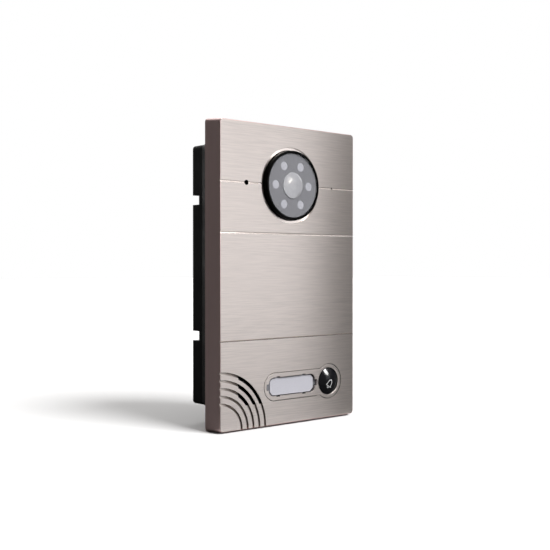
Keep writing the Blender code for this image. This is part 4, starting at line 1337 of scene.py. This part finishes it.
def hung(name, data, azimuth, elevation, distance=0.0):
    """Lamp that shines at the panel's middle. Azimuth counts from straight in front towards +X."""
    lamp = bpy.data.objects.new(name, data)
    turn, rise = math.radians(azimuth), math.radians(elevation)
    aim = Vector((math.sin(turn) * math.cos(rise), -math.cos(turn) * math.cos(rise), math.sin(rise)))
    lamp.location = (cad_low + cad_high) / 2 + aim * distance
    lamp.rotation_mode = "QUATERNION"
    lamp.rotation_quaternion = aim.to_track_quat("Z", "Y")
    bpy.context.scene.collection.objects.link(lamp)
    return lamp


def softbox(name, azimuth, elevation, distance, size, radiance, colour):
    """Rectangular light of a given radiance, which shows in gloss only."""
    data = bpy.data.lights.new(name, "AREA")
    data.shape = "RECTANGLE"
    data.size, data.size_y = size
    data.energy = radiance * math.pi * size[0] * size[1]
    data.color = colour
    lamp = hung(name, data, azimuth, elevation, distance)
    lamp.visible_diffuse = False
    return lamp


def glint(piece, *settings):
    """Softbox that lights one piece only, for the highlight that the photo shows on it."""
    lamp = softbox(*settings)
    shown = bpy.data.collections.new(f"{lamp.name}_shows_on")
    shown.objects.link(bpy.data.objects[piece])
    lamp.light_linking.receiver_collection = shown


def sun(azimuth, elevation, strength, spread):
    """Broad even light that mirrors don't show; it lights the floor out to its edge."""
    data = bpy.data.lights.new("room_key", "SUN")
    data.energy = strength
    data.angle = math.radians(spread)
    hung("room_key", data, azimuth, elevation).visible_glossy = False


def lights():
    """The sun, a softbox above and one low in front, and a glint each on the button and the lens."""
    sun(15, 43, 5.2, 35)
    softbox("key", 26.5, 33, 1.0, (0.09, 0.18), 52.0, (1.0, 0.985, 0.97))
    softbox("low_fill", 30.8, 4.5, 1.20, (0.55, 0.409), 2.35, (0.96, 0.97, 1.0))
    glint("button_cap", "button_glint", 30, 28, 1.0, (0.26, 0.36), 80.0, (1.0, 0.99, 0.98))
    glint("lens", "lens_glint", 37.0, 11.4, 1.03, (0.055, 0.055), 30.0, (1.0, 0.93, 0.84))


# Parts of the room around the panel: direction, cosines where it starts and is full, brightness
ROOM = (
    ((0.15, 0.10, 0.98), 0.76, 0.96, 1.3),
    ((0.80, 0.58, 0.10), 0.75, 0.95, 1.1),
    ((-0.65, -0.76, 0.00), 0.80, 0.97, 0.25),
    ((-0.58, 0.81, 0.00), 0.70, 0.95, 0.045),
    ((0.65, -0.58, 0.49), 0.93, 0.985, 0.5),
    ((0.20, 0.92, 0.34), 0.80, 0.96, 1.6),
)
ROOM_DIM = 0.035                 # brightness between those parts
AMBIENT = 0.24                   # added for matt surfaces only


def studio():
    """Room light: bright above and behind on the right, dim on the left; white to the camera."""
    world = bpy.data.worlds.new("studio")
    world.use_nodes = True
    room = Nodes(world.node_tree)
    background = room.tree.nodes["Background"]
    background.inputs["Color"].default_value = (1.0, 0.985, 0.975, 1.0)
    where = room.node("ShaderNodeTexCoord")
    total = ROOM_DIM
    for axis, start, full, bright in ROOM:
        turn = room.node("ShaderNodeVectorMath", operation="DOT_PRODUCT")
        turn.inputs[1].default_value = Vector(axis).normalized()
        room.link(where.outputs["Generated"], turn.inputs[0])
        lobe = room.ranged(turn.outputs["Value"], 0.0, bright, start, full, interpolation_type="SMOOTHSTEP")
        total = room.maths("ADD", total, lobe)
    path = room.node("ShaderNodeLightPath")
    strength = room.maths("MULTIPLY_ADD", path.outputs["Is Diffuse Ray"], AMBIENT, total)
    room.link(strength, background.inputs["Strength"])
    white = room.node("ShaderNodeBackground")
    white.inputs["Color"].default_value = (1.0, 1.0, 1.0, 1.0)
    shown = room.blended(path.outputs["Is Camera Ray"], background, white)
    room.link(shown, room.tree.nodes["World Output"].inputs["Surface"])
    bpy.context.scene.world = world


def camera():
    """The photo's view, from a perspective fit to the edges of the face."""
    data = bpy.data.cameras.new("camera")
    data.lens = CAMERA_LENS
    data.clip_start = 0.01
    view = bpy.data.objects.new("camera", data)
    view.location = CAMERA_PLACE
    view.rotation_euler = (math.radians(90 + CAMERA_PITCH), 0.0, math.radians(-CAMERA_YAW))
    bpy.context.scene.collection.objects.link(view)
    bpy.context.scene.camera = view


camera()
build_object()
finish_nodes()
floor()
lights()
studio()
bpy.context.scene.view_settings.view_transform = "Standard"
